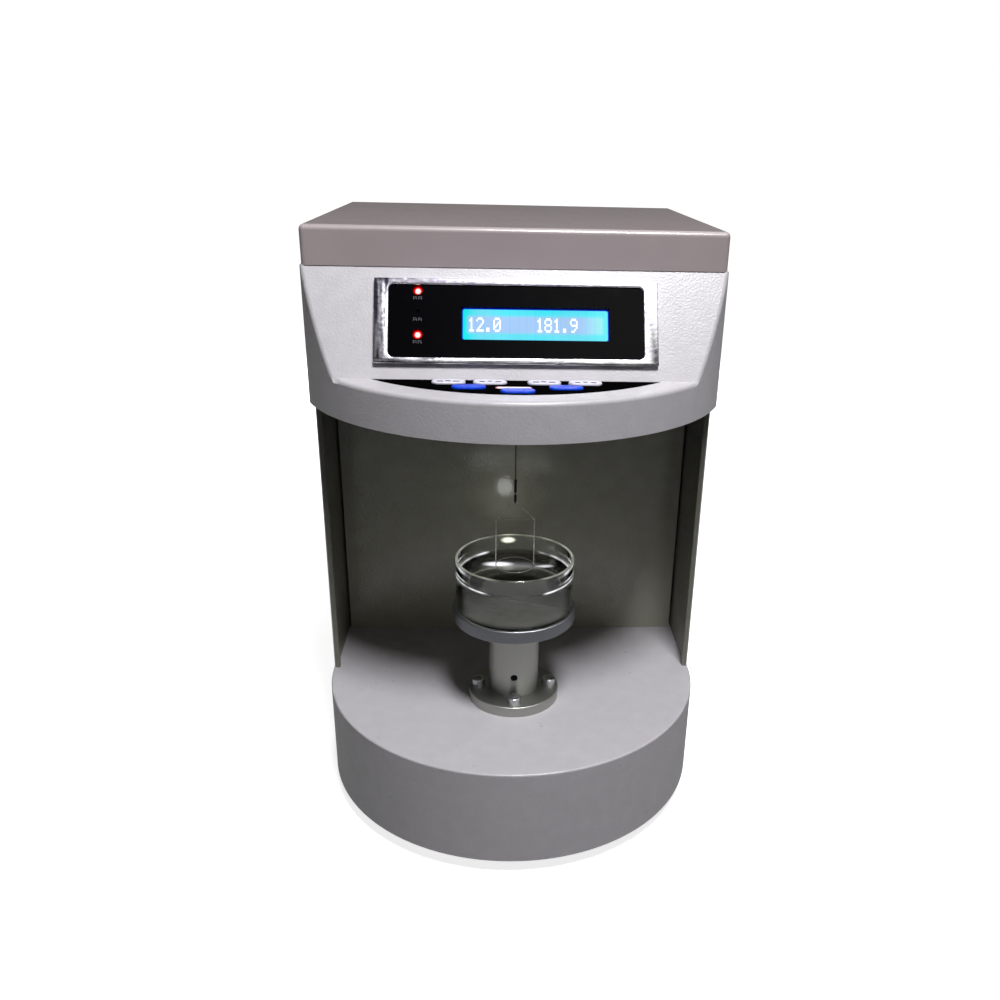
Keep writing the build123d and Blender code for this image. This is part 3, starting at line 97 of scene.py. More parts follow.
def add_node(tree, kind, settings=None, links=None):
    """Adds a node. Lower-case settings are its attributes and the others its inputs."""
    node = tree.nodes.new("ShaderNode" + kind)
    for key, value in (settings or {}).items():
        if isinstance(key, str) and key[0].islower():
            setattr(node, key, value)
        else:
            node.inputs[key].default_value = value
    for key, source in (links or {}).items():
        tree.links.new(socket(source), node.inputs[key])
    return node


def start_finish(name, settings):
    """A new material, its node tree, its object coordinates and its Principled shader."""
    material = bpy.data.materials.new(name)
    material.use_nodes = True
    tree = material.node_tree
    tree.nodes.clear()
    coords = add_node(tree, "TexCoord").outputs["Object"]
    shader = add_node(tree, "BsdfPrincipled", settings)
    add_node(tree, "OutputMaterial", links={"Surface": shader})
    return material, tree, coords, shader


def feed(material, shader, links, height=None, depth=0.0):
    """Links a shader's inputs, and a relief whose height from 0 to 1 stands for depth millimetres."""
    tree = material.node_tree
    if height is not None:
        links["Normal"] = add_node(tree, "Bump", {"Distance": depth * MM, "Strength": 1.0},
                                   {"Height": height})
    for key, source in links.items():
        tree.links.new(socket(source), shader.inputs[key])
    return material


def smooth(start, end, low=0.0, high=1.0):
    """Map Range settings: a soft change from low to high as a value goes from start to end."""
    return {"interpolation_type": "SMOOTHSTEP", "From Min": start, "From Max": end,
            "To Min": low, "To Max": high}


def mottle(tree, coords, size, low, high, detail=2.0, stretch=(1.0, 1.0, 1.0)):
    """A cloudy value between low and high, with patches about size millimetres wide."""
    place = add_node(tree, "Mapping", {"Scale": stretch}, {"Vector": coords})
    noise = add_node(tree, "TexNoise", {"Scale": PER_MM / size, "Detail": detail}, {"Vector": place})
    return add_node(tree, "MapRange",
                    {"clamp": False, "From Min": 0.3, "From Max": 0.7, "To Min": low, "To Max": high},
                    {"Value": noise.outputs["Fac"]})


def layered(tree, colour, *layers):
    """A colour with others laid over it in turn, each by its own factor from 0 to 1.

    A colour is a hex value, a linear colour, a socket or a node.
    """
    for factor, over in layers:
        settings, links = {"data_type": "RGBA"}, {0: factor}
        for key, end in ((6, colour), (7, over)):
            end = linear(end) if isinstance(end, str) else end
            (settings if isinstance(end, tuple) else links)[key] = end
        colour = add_node(tree, "Mix", settings, links)
    return colour


def flat_distance(tree, place):
    """How far a place is from the upright axis."""
    flat = add_node(tree, "VectorMath", {"operation": "MULTIPLY", 1: (1.0, 1.0, 0.0)}, {0: place})
    return add_node(tree, "VectorMath", {"operation": "LENGTH"}, {0: flat})


def soft_spot(tree, coords, middle, reach, core, strength):
    """A value that fades out round a place in millimetres."""
    local = add_node(tree, "Mapping",
                     {"vector_type": "TEXTURE", "Location": tuple(value * MM for value in middle),
                      "Scale": tuple(value * MM for value in reach)}, {"Vector": coords})
    away = add_node(tree, "VectorMath", {"operation": "LENGTH"}, {0: local})
    return add_node(tree, "MapRange", smooth(core, 1.0, strength, 0.0), {"Value": away})


def seen_straight(tree):
    """The light path, and a value that is 1 for what the camera sees straight or through glass."""
    path = add_node(tree, "LightPath")
    seen = add_node(tree, "Math", {"operation": "MAXIMUM"},
                    {0: path.outputs["Is Camera Ray"], 1: path.outputs["Is Transmission Ray"]})
    return path, seen


def shade(colour, amount):
    """A colour made lighter or darker."""
    return tuple(min(1.0, c * amount) for c in colour[:3]) + (1.0,)


# ---- Finishes ----

finishes = {}

# A turning tool leaves about 0.1 mm between its lines, drawn at 0.5 mm so that they show.
TOOL_LINES = 0.5

# Colours that leave only the lines between the bricks of a texture.
MORTAR_ONLY = {"Color1": (0, 0, 0, 1), "Color2": (0, 0, 0, 1), "Mortar": (1, 1, 1, 1)}


def finish(maker):
    """The material that a maker gives, made once."""
    if maker not in finishes:
        finishes[maker] = maker()
    return finishes[maker]


def patchy(name, settings, colours, cloud, gloss=None, grain=None):
    """A finish that varies in patches: colour, then roughness, then relief.

    In millimetres, cloud is (size, detail), gloss is (size, lowest roughness, highest) and grain
    is (depth, size, detail, stretch). The detail and the stretch may be left out.
    """
    material, tree, coords, shader = start_finish(name, settings)
    patches = mottle(tree, coords, cloud[0], 0.0, 1.0, *cloud[1:])
    links = {"Base Color": layered(tree, colours[0], (patches, colours[1]))}
    if gloss:
        links["Roughness"] = mottle(tree, coords, *gloss)
    if not grain:
        return feed(material, shader, links)
    depth, size, *more = grain
    return feed(material, shader, links, mottle(tree, coords, size, 0.0, 1.0, *more), depth)


def stoved_orange_peel_enamel():
    """Stoved enamel sprayed thick on sheet steel: pale lilac grey with shallow glossy dimples."""
    colour = bpy.context.scene.tensiometer_colours.enamel
    return patchy("stoved_orange_peel_enamel", {"IOR": 1.5}, (shade(colour, 0.965), shade(colour, 1.03)),
                  (7.0,), (4.0, 0.28, 0.36), (0.029, 0.95, 0.3))


def smooth_stoved_enamel():
    """Stoved enamel sprayed thin on a formed cover: warm grey, satin, with a fine even skin."""
    colour = bpy.context.scene.tensiometer_colours.lid
    return patchy("smooth_stoved_enamel",
                  {"IOR": 1.5, "Coat Weight": 0.7, "Coat Roughness": 0.12, "Coat IOR": 1.5},
                  (shade(colour, 0.97), shade(colour, 1.03)),
                  (25.0,), (3.0, 0.34, 0.42), (0.006, 0.9, 1.0))


def painted_shade_upwards(tree, coords, low_colour, high_colour):
    """Painted shade: a colour that darkens from the foot of the working space to its top, in patches, as
    the head shades it.
    """
    foot, top = 60.0, 200.0
    height = add_node(tree, "SeparateXYZ", links={"Vector": coords}).outputs["Z"]
    rise = add_node(tree, "MapRange", {"From Min": foot * MM, "From Max": top * MM}, {"Value": height})
    uneven = add_node(tree, "Math", {"operation": "ADD"},
                      {0: rise, 1: mottle(tree, coords, 9.0, -0.06, 0.06)})
    return layered(tree, low_colour, (uneven, high_colour))


def shaded_enamel():
    """The same enamel inside the working space, a little glossier, its colour darkened as painted shade.
    """
    colour = bpy.context.scene.tensiometer_colours.inside
    material, tree, coords, shader = start_finish("orange_peel_enamel_painted_shade", {"IOR": 1.5})
    links = {"Base Color": painted_shade_upwards(tree, coords, shade(colour, 1.3), shade(colour, 0.62)),
             "Roughness": mottle(tree, coords, 4.0, 0.08, 0.12)}
    return feed(material, shader, links, mottle(tree, coords, 1.3, 0.0, 1.0, 0.5), 0.035)


def wall_enamel():
    """Side walls: orange-peel enamel outside, lapping round the edge on to a dark inside, whose colour
    is painted shade.
    """
    colours = bpy.context.scene.tensiometer_colours
    material, tree, coords, shader = start_finish("orange_peel_enamel_shaded_inside", {"IOR": 1.5})
    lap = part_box("right_wall")[1].x - 0.6 * MM
    across = add_node(tree, "SeparateXYZ", links={"Vector": coords}).outputs["X"]
    aside = add_node(tree, "Math", {"operation": "ABSOLUTE"}, {0: across})
    outside = add_node(tree, "Math", {"operation": "GREATER_THAN", 1: lap}, {0: aside})
    pale = layered(tree, shade(colours.enamel, 0.965),
                   (mottle(tree, coords, 7.0, 0.0, 1.0), shade(colours.enamel, 1.03)))
    # Painted shade on the inside faces: darker than the enamel, and darker towards the top.
    dark = painted_shade_upwards(tree, coords, shade(colours.inside, 0.6), shade(colours.inside, 0.26))
    links = {"Base Color": layered(tree, dark, (outside, pale)),
             "Roughness": mottle(tree, coords, 4.0, 0.42, 0.5)}
    return feed(material, shader, links, mottle(tree, coords, 1.3, 0.0, 1.0, 0.5), 0.02)


def zinc_plated_steel():
    """Rolled steel with bright zinc: cool grey metal with faint spangles and roll lines."""
    return patchy("zinc_plated_steel", {"Metallic": 1.0}, ("#B9BBBE", "#D0D1D3"),
                  (2.5, 3.0), (1.2, 0.24, 0.38), (0.004, 0.4, 1.0, (1.0, 0.1, 1.0)))


def lathe_rings(tree, coords, spacing):
    """A ripple from 0 to 1 that runs round the stage axis, as a turning tool leaves it."""
    centred = add_node(tree, "Mapping", {"Location": (0.0, -stage_y * MM, 0.0)}, {"Vector": coords})
    height = add_node(tree, "SeparateXYZ", links={"Vector": coords}).outputs["Z"]
    path = add_node(tree, "Math", {"operation": "ADD"}, {0: flat_distance(tree, centred), 1: height})
    turns = add_node(tree, "Math", {"operation": "MULTIPLY", 1: PER_MM / spacing}, {0: path})
    lines = add_node(tree, "TexNoise",
                     {"noise_dimensions": "1D", "Scale": 1.0, "Detail": 2.0}, {"W": turns})
    return lines.outputs["Fac"]


def turned_aluminium():
    """Bar turned on a lathe, etched and anodised: soft satin grey with faint rings round the axis."""
    material, tree, coords, shader = start_finish("turned_anodised_aluminium", {"Metallic": 1.0})
    rings = lathe_rings(tree, coords, TOOL_LINES)
    spread = add_node(tree, "MapRange", {"To Min": 0.4, "To Max": 0.5}, {"Value": rings})
    links = {"Base Color": layered(tree, "#A6A7A2", (rings, "#B8B9B3")), "Roughness": spread}
    return feed(material, shader, links, rings, 0.003)


def aluminium_painted_shade():
    """The same turned bar on the platform, coloured darker and with a cold cast as painted shade."""
    material, tree, coords, shader = start_finish("anodised_aluminium_painted_shade", {"Metallic": 1.0})
    rings = lathe_rings(tree, coords, TOOL_LINES)
    # Its top is coloured near black where the dish stands.
    seat_radius = 29.8
    seat = soft_spot(tree, coords, (0.0, stage_y, platform_high.z), (seat_radius, seat_radius, 1.0),
                     0.97, 1.0)
    links = {"Base Color": layered(tree, "#8A8C94", (rings, "#989AA0"), (seat, "#3C3C3A")),
             "Roughness": mottle(tree, coords, 5.0, 0.34, 0.46)}
    return feed(material, shader, links, rings, 0.003)


def machined_bronze():
    """Bearing bronze bored and reamed: brown gold with fine rings."""
    material, tree, coords, shader = start_finish("machined_bronze", {"Metallic": 1.0})
    rings = lathe_rings(tree, coords, 0.4)
    links = {"Base Color": layered(tree, "#9A7444", (rings, "#B88C55")),
             "Roughness": mottle(tree, coords, 2.0, 0.28, 0.42)}
    return feed(material, shader, links, rings, 0.008)


def machined_brass():
    """Free-cutting brass from the bar: bright yellow metal, slightly stained by handling."""
    return patchy("machined_brass", {"Metallic": 1.0}, ("#B08A3E", "#CDAA58"),
                  (3.0, 3.0), (1.5, 0.22, 0.4), (0.004, 0.3))


def chrome_plate():
    """Chrome plate on a pressed frame: a rippled mirror, with painted shade and painted highlights in
    long bands at its left and foot.
    """
    material, tree, coords, shader = start_finish("chrome_plate_on_pressing", {"Metallic": 1.0})
    haze = mottle(tree, coords, 2.5, 0.0, 1.0, 4.0)
    upper, lower = fascia_extent("display_bezel")[:2]
    local = fascia_coordinates(tree, coords, 0.0, (upper + lower) / 2)
    apart = add_node(tree, "SeparateXYZ", links={"Vector": local})
    side, sill = FRAME_OPENING[0] / 2, FRAME_OPENING[1] / 2
    left = add_node(tree, "MapRange", {"From Min": 0.4 - side, "From Max": -0.6 - side},
                    {"Value": apart.outputs["X"]})
    foot = add_node(tree, "MapRange", {"From Min": 0.1 - sill, "From Max": -0.7 - sill},
                    {"Value": apart.outputs["Y"]})
    # Where the painted shade and highlights go: the frame's left side and its foot.
    worn = add_node(tree, "Math", {"operation": "MAXIMUM"}, {0: left, 1: foot})
    # The painted shade and highlights run in long bands along the pressing: up its left side, across its
    # foot.
    up = add_node(tree, "Mapping", {"Scale": (MM, 0.08 * MM, MM)}, {"Vector": local})
    over = add_node(tree, "Mapping", {"Scale": (0.1 * MM, MM, MM)}, {"Vector": local})
    painted_light_streaks = layered(tree, mottle(tree, up, 1.9, -0.35, 0.85, 1.0),
                      (foot, mottle(tree, over, 1.5, 0.0, 1.0, 1.0)))
    # Painted shade in dark lilac grey, with painted highlights in white bands.
    painted_shade_and_glints = layered(tree, "#4E4A5A", (painted_light_streaks, "#FFFFFF"))
    links = {"Base Color": layered(tree, "#E4DCF0", (haze, "#FFFFFF"), (worn, painted_shade_and_glints)),
             "Roughness": mottle(tree, coords, 1.6, 0.14, 0.26, 3.0)}
    return feed(material, shader, links, mottle(tree, coords, 2.0, 0.0, 1.0, 2.5), 0.025)


def printed_acrylic():
    """Clear acrylic printed black on its back: deep black with a soft gloss and very faint dust."""
    return patchy("back_printed_acrylic", {"IOR": 1.49, "Specular IOR Level": 0.08},
                  ("#020203", "#050507"), (0.6, 4.0), (8.0, 0.03, 0.09), (0.01, 20.0))


def clear_acrylic():
    """Cast acrylic left unprinted over the screen: clear, with a faint polish on its face."""
    material, tree, coords, shader = start_finish("clear_cast_acrylic", {
        "Base Color": linear("#020203"), "IOR": 1.49})
    # Thin and flat, so it is let through straight: only its polish and a little haze are left.
    return feed(material, shader, {"Roughness": mottle(tree, coords, 8.0, 0.04, 0.08),
                                   "Alpha": mottle(tree, coords, 20.0, 0.05, 0.1)})


def black_acetal():
    """Moulded acetal: near black with a fine matt grain from the tool."""
    return patchy("moulded_black_plastic", {"IOR": 1.46}, ("#141416", "#1D1D20"),
                  (4.0,), (1.0, 0.38, 0.52), (0.015, 0.35, 1.0))


def matt_overlay():
    """Screen-printed polyester film: matt black, slightly wavy over the board beneath."""
    return patchy("matt_polyester_film", {"IOR": 1.57, "Specular IOR Level": 0.0},
                  ("#030304", "#060607"), (5.0,), (3.0, 0.5, 0.65), (0.01, 4.0, 1.0))


def solder_resist():
    """Glass-fibre board under green solder resist: tracks show as paler raised lines."""
    material, tree, coords, shader = start_finish("green_solder_resist", {"IOR": 1.55})
    # Tracks on a 2.54 mm grid, so a brick of the texture is two tracks wide.
    grid = add_node(tree, "TexBrick",
                    {"Scale": PER_MM / 5.08, "Mortar Size": 0.05, "Mortar Smooth": 0.2,
                     **MORTAR_ONLY}, {"Vector": coords}).outputs["Fac"]
    links = {"Base Color": layered(tree, "#0B4A2A", (grid, "#1B6B41")),
             "Roughness": mottle(tree, coords, 2.0, 0.22, 0.34)}
    return feed(material, shader, links, grid, 0.035)


def white_key_plastic():
    """Moulded ABS key top, satin white."""
    return patchy("moulded_abs_white",
                  {"IOR": 1.53, "Subsurface Weight": 0.1, "Subsurface Scale": 0.5 * MM},
                  ("#CCCADA", "#DAD8E6"), (3.0,), (1.0, 0.3, 0.42), (0.006, 0.3))


def blue_key_plastic():
    """Moulded ABS key top, satin blue."""
    return patchy("moulded_abs_blue", {"IOR": 1.53, "Specular IOR Level": 0.15},
                  ("#0038C4", "#0448DC"), (3.0,), (1.0, 0.28, 0.4), (0.006, 0.3))


def key_ink():
    """Dark pad-printing ink on the keys: matt, thin, slightly uneven."""
    return patchy("pad_printing_ink", {"IOR": 1.5}, ("#0C0D14", "#1C1E28"), (0.5,), (0.8, 0.45, 0.6))


def worn_ink():
    """Small marks printed in grey on the window and worn thin: they hardly show."""
    return patchy("worn_screen_printing", {"Roughness": 0.6}, ("#1A1820", "#5A5260"), (0.6,))


def label_film():
    """White printed film with a satin top."""
    return patchy("printed_white_film", {"IOR": 1.5}, ("#DCDCEA", "#F2F2FA"), (3.0,), (1.5, 0.35, 0.5))


def label_border():
    """Crimson border printed round the label."""
    return patchy("printed_crimson_border", {"IOR": 1.5}, ("#A01838", "#C42848"),
                  (2.0,), (1.5, 0.35, 0.5))


def borosilicate():
    """Blown and fire-polished borosilicate: clear, with a faint green in its thickness."""
    material, tree, coords, shader = start_finish("fire_polished_borosilicate_glass", {
        "Base Color": linear("#FDFEFD"), "IOR": 1.474, "Transmission Weight": 1.0,
        "Emission Color": linear("#E6ECD4")})
    # Painted light: the glass itself glows at the rim, unevenly, and a little at the foot, for light
    # that runs inside the wall.
    height = add_node(tree, "SeparateXYZ", links={"Vector": coords}).outputs["Z"]
    rim = add_node(tree, "MapRange",
                   smooth((dish_high.z - 0.9) * MM, (dish_high.z - 0.3) * MM), {"Value": height})
    reach = (dish_radius - 0.4) * MM
    low_part = add_node(tree, "Mapping",
                        {"vector_type": "TEXTURE", "Scale": (reach, reach, 1.2 * MM),
                         "Location": (0.0, stage_y * MM, (dish_low.z + 1.0) * MM)}, {"Vector": coords})
    rise = add_node(tree, "SeparateXYZ", links={"Vector": low_part}).outputs["Z"]
    low = add_node(tree, "MapRange", {"To Min": 1.0, "To Max": 0.0}, {"Value": rise})
    outer = add_node(tree, "MapRange", smooth(0.93, 1.0), {"Value": flat_distance(tree, low_part)})
    foot = add_node(tree, "Math", {"operation": "MULTIPLY"}, {0: outer, 1: low})
    both = add_node(tree, "Math", {"operation": "MAXIMUM"}, {0: rim, 1: foot})
    uneven = add_node(tree, "Math", {"operation": "MULTIPLY"},
                      {0: both, 1: mottle(tree, coords, 9.0, 0.06, 0.3)})
    # A painted highlight, given off by the glass itself: the lamp's bright spot at the far side of the
    # rim.
    painted_rim_highlight = soft_spot(tree, coords, (-3.0, dish_high.y - 0.9, 136.1), (5.2, 2.2, 2.2), 0.25, 1.0)
    lit = add_node(tree, "Math", {"operation": "MAXIMUM"}, {0: uneven, 1: painted_rim_highlight})
    links = {"Roughness": mottle(tree, coords, 10.0, 0.0, 0.02), "Emission Strength": lit}
    return feed(material, shader, links, mottle(tree, coords, 12.0, 0.0, 1.0), 0.02)


def sample_water():
    """Still water with a faint tint: mirror smooth on top, climbing the glass at its rim."""
    material, tree, coords, shader = start_finish("still_water", {
        "Base Color": linear("#D2D2C8"), "IOR": 1.333, "Transmission Weight": 1.0,
        "Emission Color": linear("#F2F2F8")})
    # Painted light, given off by the water itself: a glow where it climbs the glass at the sides, and
    # painted highlights on the far part of the surface, for the mirrored bright spot of the glass above
    # it.
    level = bpy.context.scene.tensiometer_sizes.liquid_level / MM
    apart = add_node(tree, "SeparateXYZ", links={"Vector": coords})
    climb = add_node(tree, "MapRange", smooth((level + 2.3) * MM, (level + 2.9) * MM),
                     {"Value": apart.outputs["Z"]})
    aside = add_node(tree, "Math", {"operation": "ABSOLUTE"}, {0: apart.outputs["X"]})
    sides = add_node(tree, "MapRange", smooth(12.0 * MM, 16.0 * MM), {"Value": aside})
    painted_light_streaks = add_node(tree, "Math", {"operation": "MULTIPLY"},
                       {0: sides, 1: mottle(tree, coords, 7.0, 0.1, 0.6, 1.0)})
    painted_water_light = add_node(tree, "Math", {"operation": "MULTIPLY"}, {0: climb, 1: painted_light_streaks})
    # Each painted highlight's middle, its reach and its strength.
    painted_water_highlights = (((-8.5, -45.2), (11.0, 4.0), 1.4), ((17.0, -48.0), (8.5, 2.4), 0.8),
              ((0.0, -47.5), (25.0, 7.0), 0.12))
    for middle, reach, strength in painted_water_highlights:
        spot = soft_spot(tree, coords, (*middle, level), (*reach, 0.8), 0.2, strength)
        painted_water_light = add_node(tree, "Math", {"operation": "MAXIMUM"}, {0: painted_water_light, 1: spot})
    return feed(material, shader, {"Roughness": mottle(tree, coords, 20.0, 0.0, 0.01),
                                   "Emission Strength": painted_water_light})


def platinum_iridium():
    """Drawn platinum-iridium wire, flamed clean: pale soft-edged metal."""
    return patchy("flamed_platinum_wire", {"Metallic": 1.0}, ("#B4B0AA", "#CECAC2"),
                  (1.5,), (0.8, 0.25, 0.4))


def blackened_steel():
    """Oil-blackened steel: deep grey-black with an uneven low sheen."""
    return patchy("oil_blackened_steel", {"Metallic": 0.8}, ("#18181A", "#29292C"),
                  (3.0, 3.0), (1.0, 0.34, 0.5), (0.006, 0.5))


def moulded_rubber():
    """Moulded black rubber: matt, with a dusty bloom."""
    return patchy("moulded_black_rubber", {"IOR": 1.52}, ("#1B1B1C", "#2A2A2B"),
                  (3.0, 4.0), (1.0, 0.68, 0.85), (0.03, 0.5))


def enamelled_copper():
    """Enamelled copper wire wound in layers: red-brown gloss, fine level windings."""
    material, tree, coords, shader = start_finish("wound_enamelled_copper", {
        "Metallic": 0.9, "Coat Weight": 0.6, "Coat Roughness": 0.15})
    # Wire of 0.25 mm, drawn at 0.5 mm so that it shows.
    turns = add_node(tree, "TexWave",
                     {"bands_direction": "Z", "Scale": PER_MM / 0.5 / 20.0, "Distortion": 0.0},
                     {"Vector": coords}).outputs["Fac"]
    links = {"Base Color": layered(tree, "#6E3219", (turns, "#B4623A")),
             "Roughness": mottle(tree, coords, 1.0, 0.2, 0.35)}
    return feed(material, shader, links, turns, 0.1)


def translucent_red():
    """Moulded polycarbonate rocker: translucent red, glossy."""
    return patchy("moulded_translucent_red",
                  {"IOR": 1.58, "Transmission Weight": 0.25, "Subsurface Weight": 0.2,
                   "Subsurface Scale": 1.0 * MM},
                  ("#8E0B08", "#B01410"), (4.0,), (1.0, 0.16, 0.26))


def screen_frame():
    """Black-printed glass and frame of the display module."""
    return patchy("black_screen_frame", {"IOR": 1.5}, ("#07070A", "#0E0E12"), (3.0,), (2.0, 0.3, 0.45))


def red_epoxy():
    """Cast red epoxy of an indicator lamp that is off: clear dull red."""
    return patchy("cast_red_epoxy", {"IOR": 1.54, "Transmission Weight": 0.5},
                  ("#5A0E10", "#7A1416"), (1.0,), (1.0, 0.08, 0.16))


def fascia_coordinates(tree, coords, x, drop):
    """Coordinates in millimetres on the fascia, x right and y up the slope, from a point on it."""
    return add_node(tree, "Mapping",
                    {"vector_type": "TEXTURE", "Scale": (MM, MM, MM),
                     "Location": tuple(fascia_place(x, drop).translation),
                     "Rotation": (math.pi / 2 - FASCIA_LEAN, 0.0, 0.0)}, {"Vector": coords})


def lit_indicator(name, drop):
    """A lit red lamp seen through dark acrylic: a white-hot core in a red glow."""
    left = bpy.context.scene.tensiometer_sizes.lamp_offset / MM
    material, tree, coords, shader = start_finish(name, {
        "Base Color": linear("#200406"), "Roughness": 0.3, "Specular IOR Level": 0.0})
    away = flat_distance(tree, fascia_coordinates(tree, coords, -left, drop))
    core = add_node(tree, "MapRange", smooth(1.05, 1.45, 1.0, 0.0), {"Value": away})
    glow = add_node(tree, "MapRange", smooth(1.7, 2.45, 1.25, 0.0), {"Value": away})
    return feed(material, shader, {"Emission Color": layered(tree, "#F00400", (core, "#FFF8F4")),
                                   "Emission Strength": glow})


def backlit_screen():
    """Backlit blue screen: cyan rim, paler lavender behind the characters, a blue glow round it."""
    sizes = bpy.context.scene.tensiometer_sizes
    material, tree, coords, shader = start_finish("backlit_blue_screen", {
        "Base Color": linear("#04080E"), "Roughness": 0.4, "Specular IOR Level": 0.0,
        "Emission Strength": 1.14})
    local = fascia_coordinates(tree, coords, sizes.screen_offset / MM, sizes.screen_drop / MM)
    across = add_node(tree, "VectorMath", {"operation": "ABSOLUTE"}, {0: local})
    half = (sizes.screen_width / MM / 2, sizes.screen_height / MM / 2)

    # How far a point is outside the lit field, whose corners have a radius of 0.9 mm.
    past = add_node(tree, "VectorMath",
                    {"operation": "SUBTRACT", 1: (half[0] - 0.9, half[1] - 0.9, 5.0)}, {0: across})
    outside = add_node(tree, "VectorMath", {"operation": "MAXIMUM", 1: (0.0, 0.0, 0.0)}, {0: past})
    reach = add_node(tree, "VectorMath", {"operation": "LENGTH"}, {0: outside})

    apart = add_node(tree, "SeparateXYZ", links={"Vector": across})
    side = add_node(tree, "SeparateXYZ", links={"Vector": local}).outputs["X"]
    band = add_node(tree, "MapRange", smooth(3.0, 5.2, 1.0, 0.0), {"Value": apart.outputs["Y"]})
    ends = add_node(tree, "MapRange", smooth(half[0] - 3.5, half[0] - 0.8, 1.0, 0.0),
                    {"Value": apart.outputs["X"]})
    field = add_node(tree, "Math", {"operation": "MULTIPLY"}, {0: band, 1: ends})
    # The light comes from the right-hand end, which is the palest.
    start = add_node(tree, "MapRange", smooth(-half[0], -0.75 * half[0]), {"Value": side})
    along = add_node(tree, "MapRange", smooth(0.6 * half[0], 0.95 * half[0]), {"Value": side})
    tone = mottle(tree, coords, 22.0, 0.0, 1.0, 0.0)
    cyan = layered(tree, "#24ECFA", (tone, "#70E8FA"), (along, "#6CF4FC"))
    rim = layered(tree, "#12EEF4", (start, cyan))
    middle = layered(tree, "#A9D0FC", (along, "#A4F8FC"))
    glow = add_node(tree, "MapRange", smooth(0.75, 1.1), {"Value": reach})
    halo = add_node(tree, "MapRange", smooth(1.0, 1.8), {"Value": reach})
    edge = layered(tree, "#0A1FD0", (halo, "#020308"))
    # Faint cells of the unlit characters, one character apart.
    placed = add_node(tree, "Mapping", {"Location": (half[0] - DIGIT_MARGIN, 8.0, 0.0)},
                      {"Vector": local})
    cells = add_node(tree, "TexBrick",
                     {"offset": 0.0, "Scale": 1.0, "Brick Width": sizes.character_pitch / MM,
                      "Row Height": 16.0, "Mortar Size": 0.3, "Mortar Smooth": 0.5, **MORTAR_ONLY},
                     {"Vector": placed})
    dimmed = add_node(tree, "Mix",
                      {"data_type": "RGBA", "blend_type": "MULTIPLY", 7: (0.9, 0.95, 0.99, 1)},
                      {0: cells.outputs["Fac"], 6: layered(tree, rim, (field, middle), (glow, edge))})
    return feed(material, shader, {"Emission Color": dimmed})


def screen_character():
    """The screen's lit dots: bluish white."""
    material, tree, coords, shader = start_finish("lit_screen_dot", {
        "Base Color": linear("#101418"), "Roughness": 0.4, "Emission Strength": 1.5})
    patches = mottle(tree, coords, 1.5, 0.0, 1.0)
    return feed(material, shader, {"Emission Color": layered(tree, "#EEF7FF", (patches, "#FFFFFF"))})


# ---- Making pieces ----


def deselect():
    """Selects nothing."""
    bpy.ops.object.select_all(action="DESELECT")


def focus(piece):
    """Makes one object the selected and active one."""
    deselect()
    piece.select_set(True)
    bpy.context.view_layer.objects.active = piece


def named(name):
    """Names the new active object and settles its place into its mesh."""
    piece = bpy.context.object
    piece.name = name
    piece.data.name = name
    bpy.ops.object.transform_apply(location=True, rotation=True, scale=True)
    return piece


def block(name, low, high):
    """A box between two corners in millimetres."""
    deselect()
    size = [(high[i] - low[i]) * MM for i in range(3)]
    middle = [(high[i] + low[i]) / 2 * MM for i in range(3)]
    bpy.ops.mesh.primitive_cube_add(size=1.0, location=middle, scale=size)
    return named(name)


def rod(name, radius, low, high):
    """An upright round bar at the origin, between two heights in millimetres."""
    deselect()
    bpy.ops.mesh.primitive_cylinder_add(vertices=48, radius=radius * MM, depth=(high - low) * MM,
                                        location=(0, 0, (low + high) / 2 * MM))
    return named(name)


def round_edges(piece, width, segments):
    """Rounds the piece's sharp edges by a width in millimetres."""
    focus(piece)
    bevel = piece.modifiers.new("rounded_edges", "BEVEL")
    bevel.width = width * MM
    bevel.segments = segments
    bevel.limit_method = "ANGLE"
    bevel.angle_limit = math.radians(30)
    bpy.ops.object.modifier_apply(modifier=bevel.name)
    return piece


def round_corners(piece, radius):
    """Rounds the upright edges of a flat piece."""
    focus(piece)
    bpy.ops.object.mode_set(mode="EDIT")
    bpy.ops.mesh.select_all(action="DESELECT")
    bpy.ops.object.mode_set(mode="OBJECT")
    # An upright edge is one whose ends are not level.
    level_within = 0.02 * MM
    for edge in piece.data.edges:
        foot, head = (piece.data.vertices[end].co.z for end in edge.vertices)
        edge.select = abs(head - foot) > level_within
    bpy.context.tool_settings.mesh_select_mode = (False, True, False)
    bpy.ops.object.mode_set(mode="EDIT")
    bpy.ops.mesh.bevel(offset=radius * MM, segments=8, affect="EDGES")
    bpy.ops.object.mode_set(mode="OBJECT")
    return piece


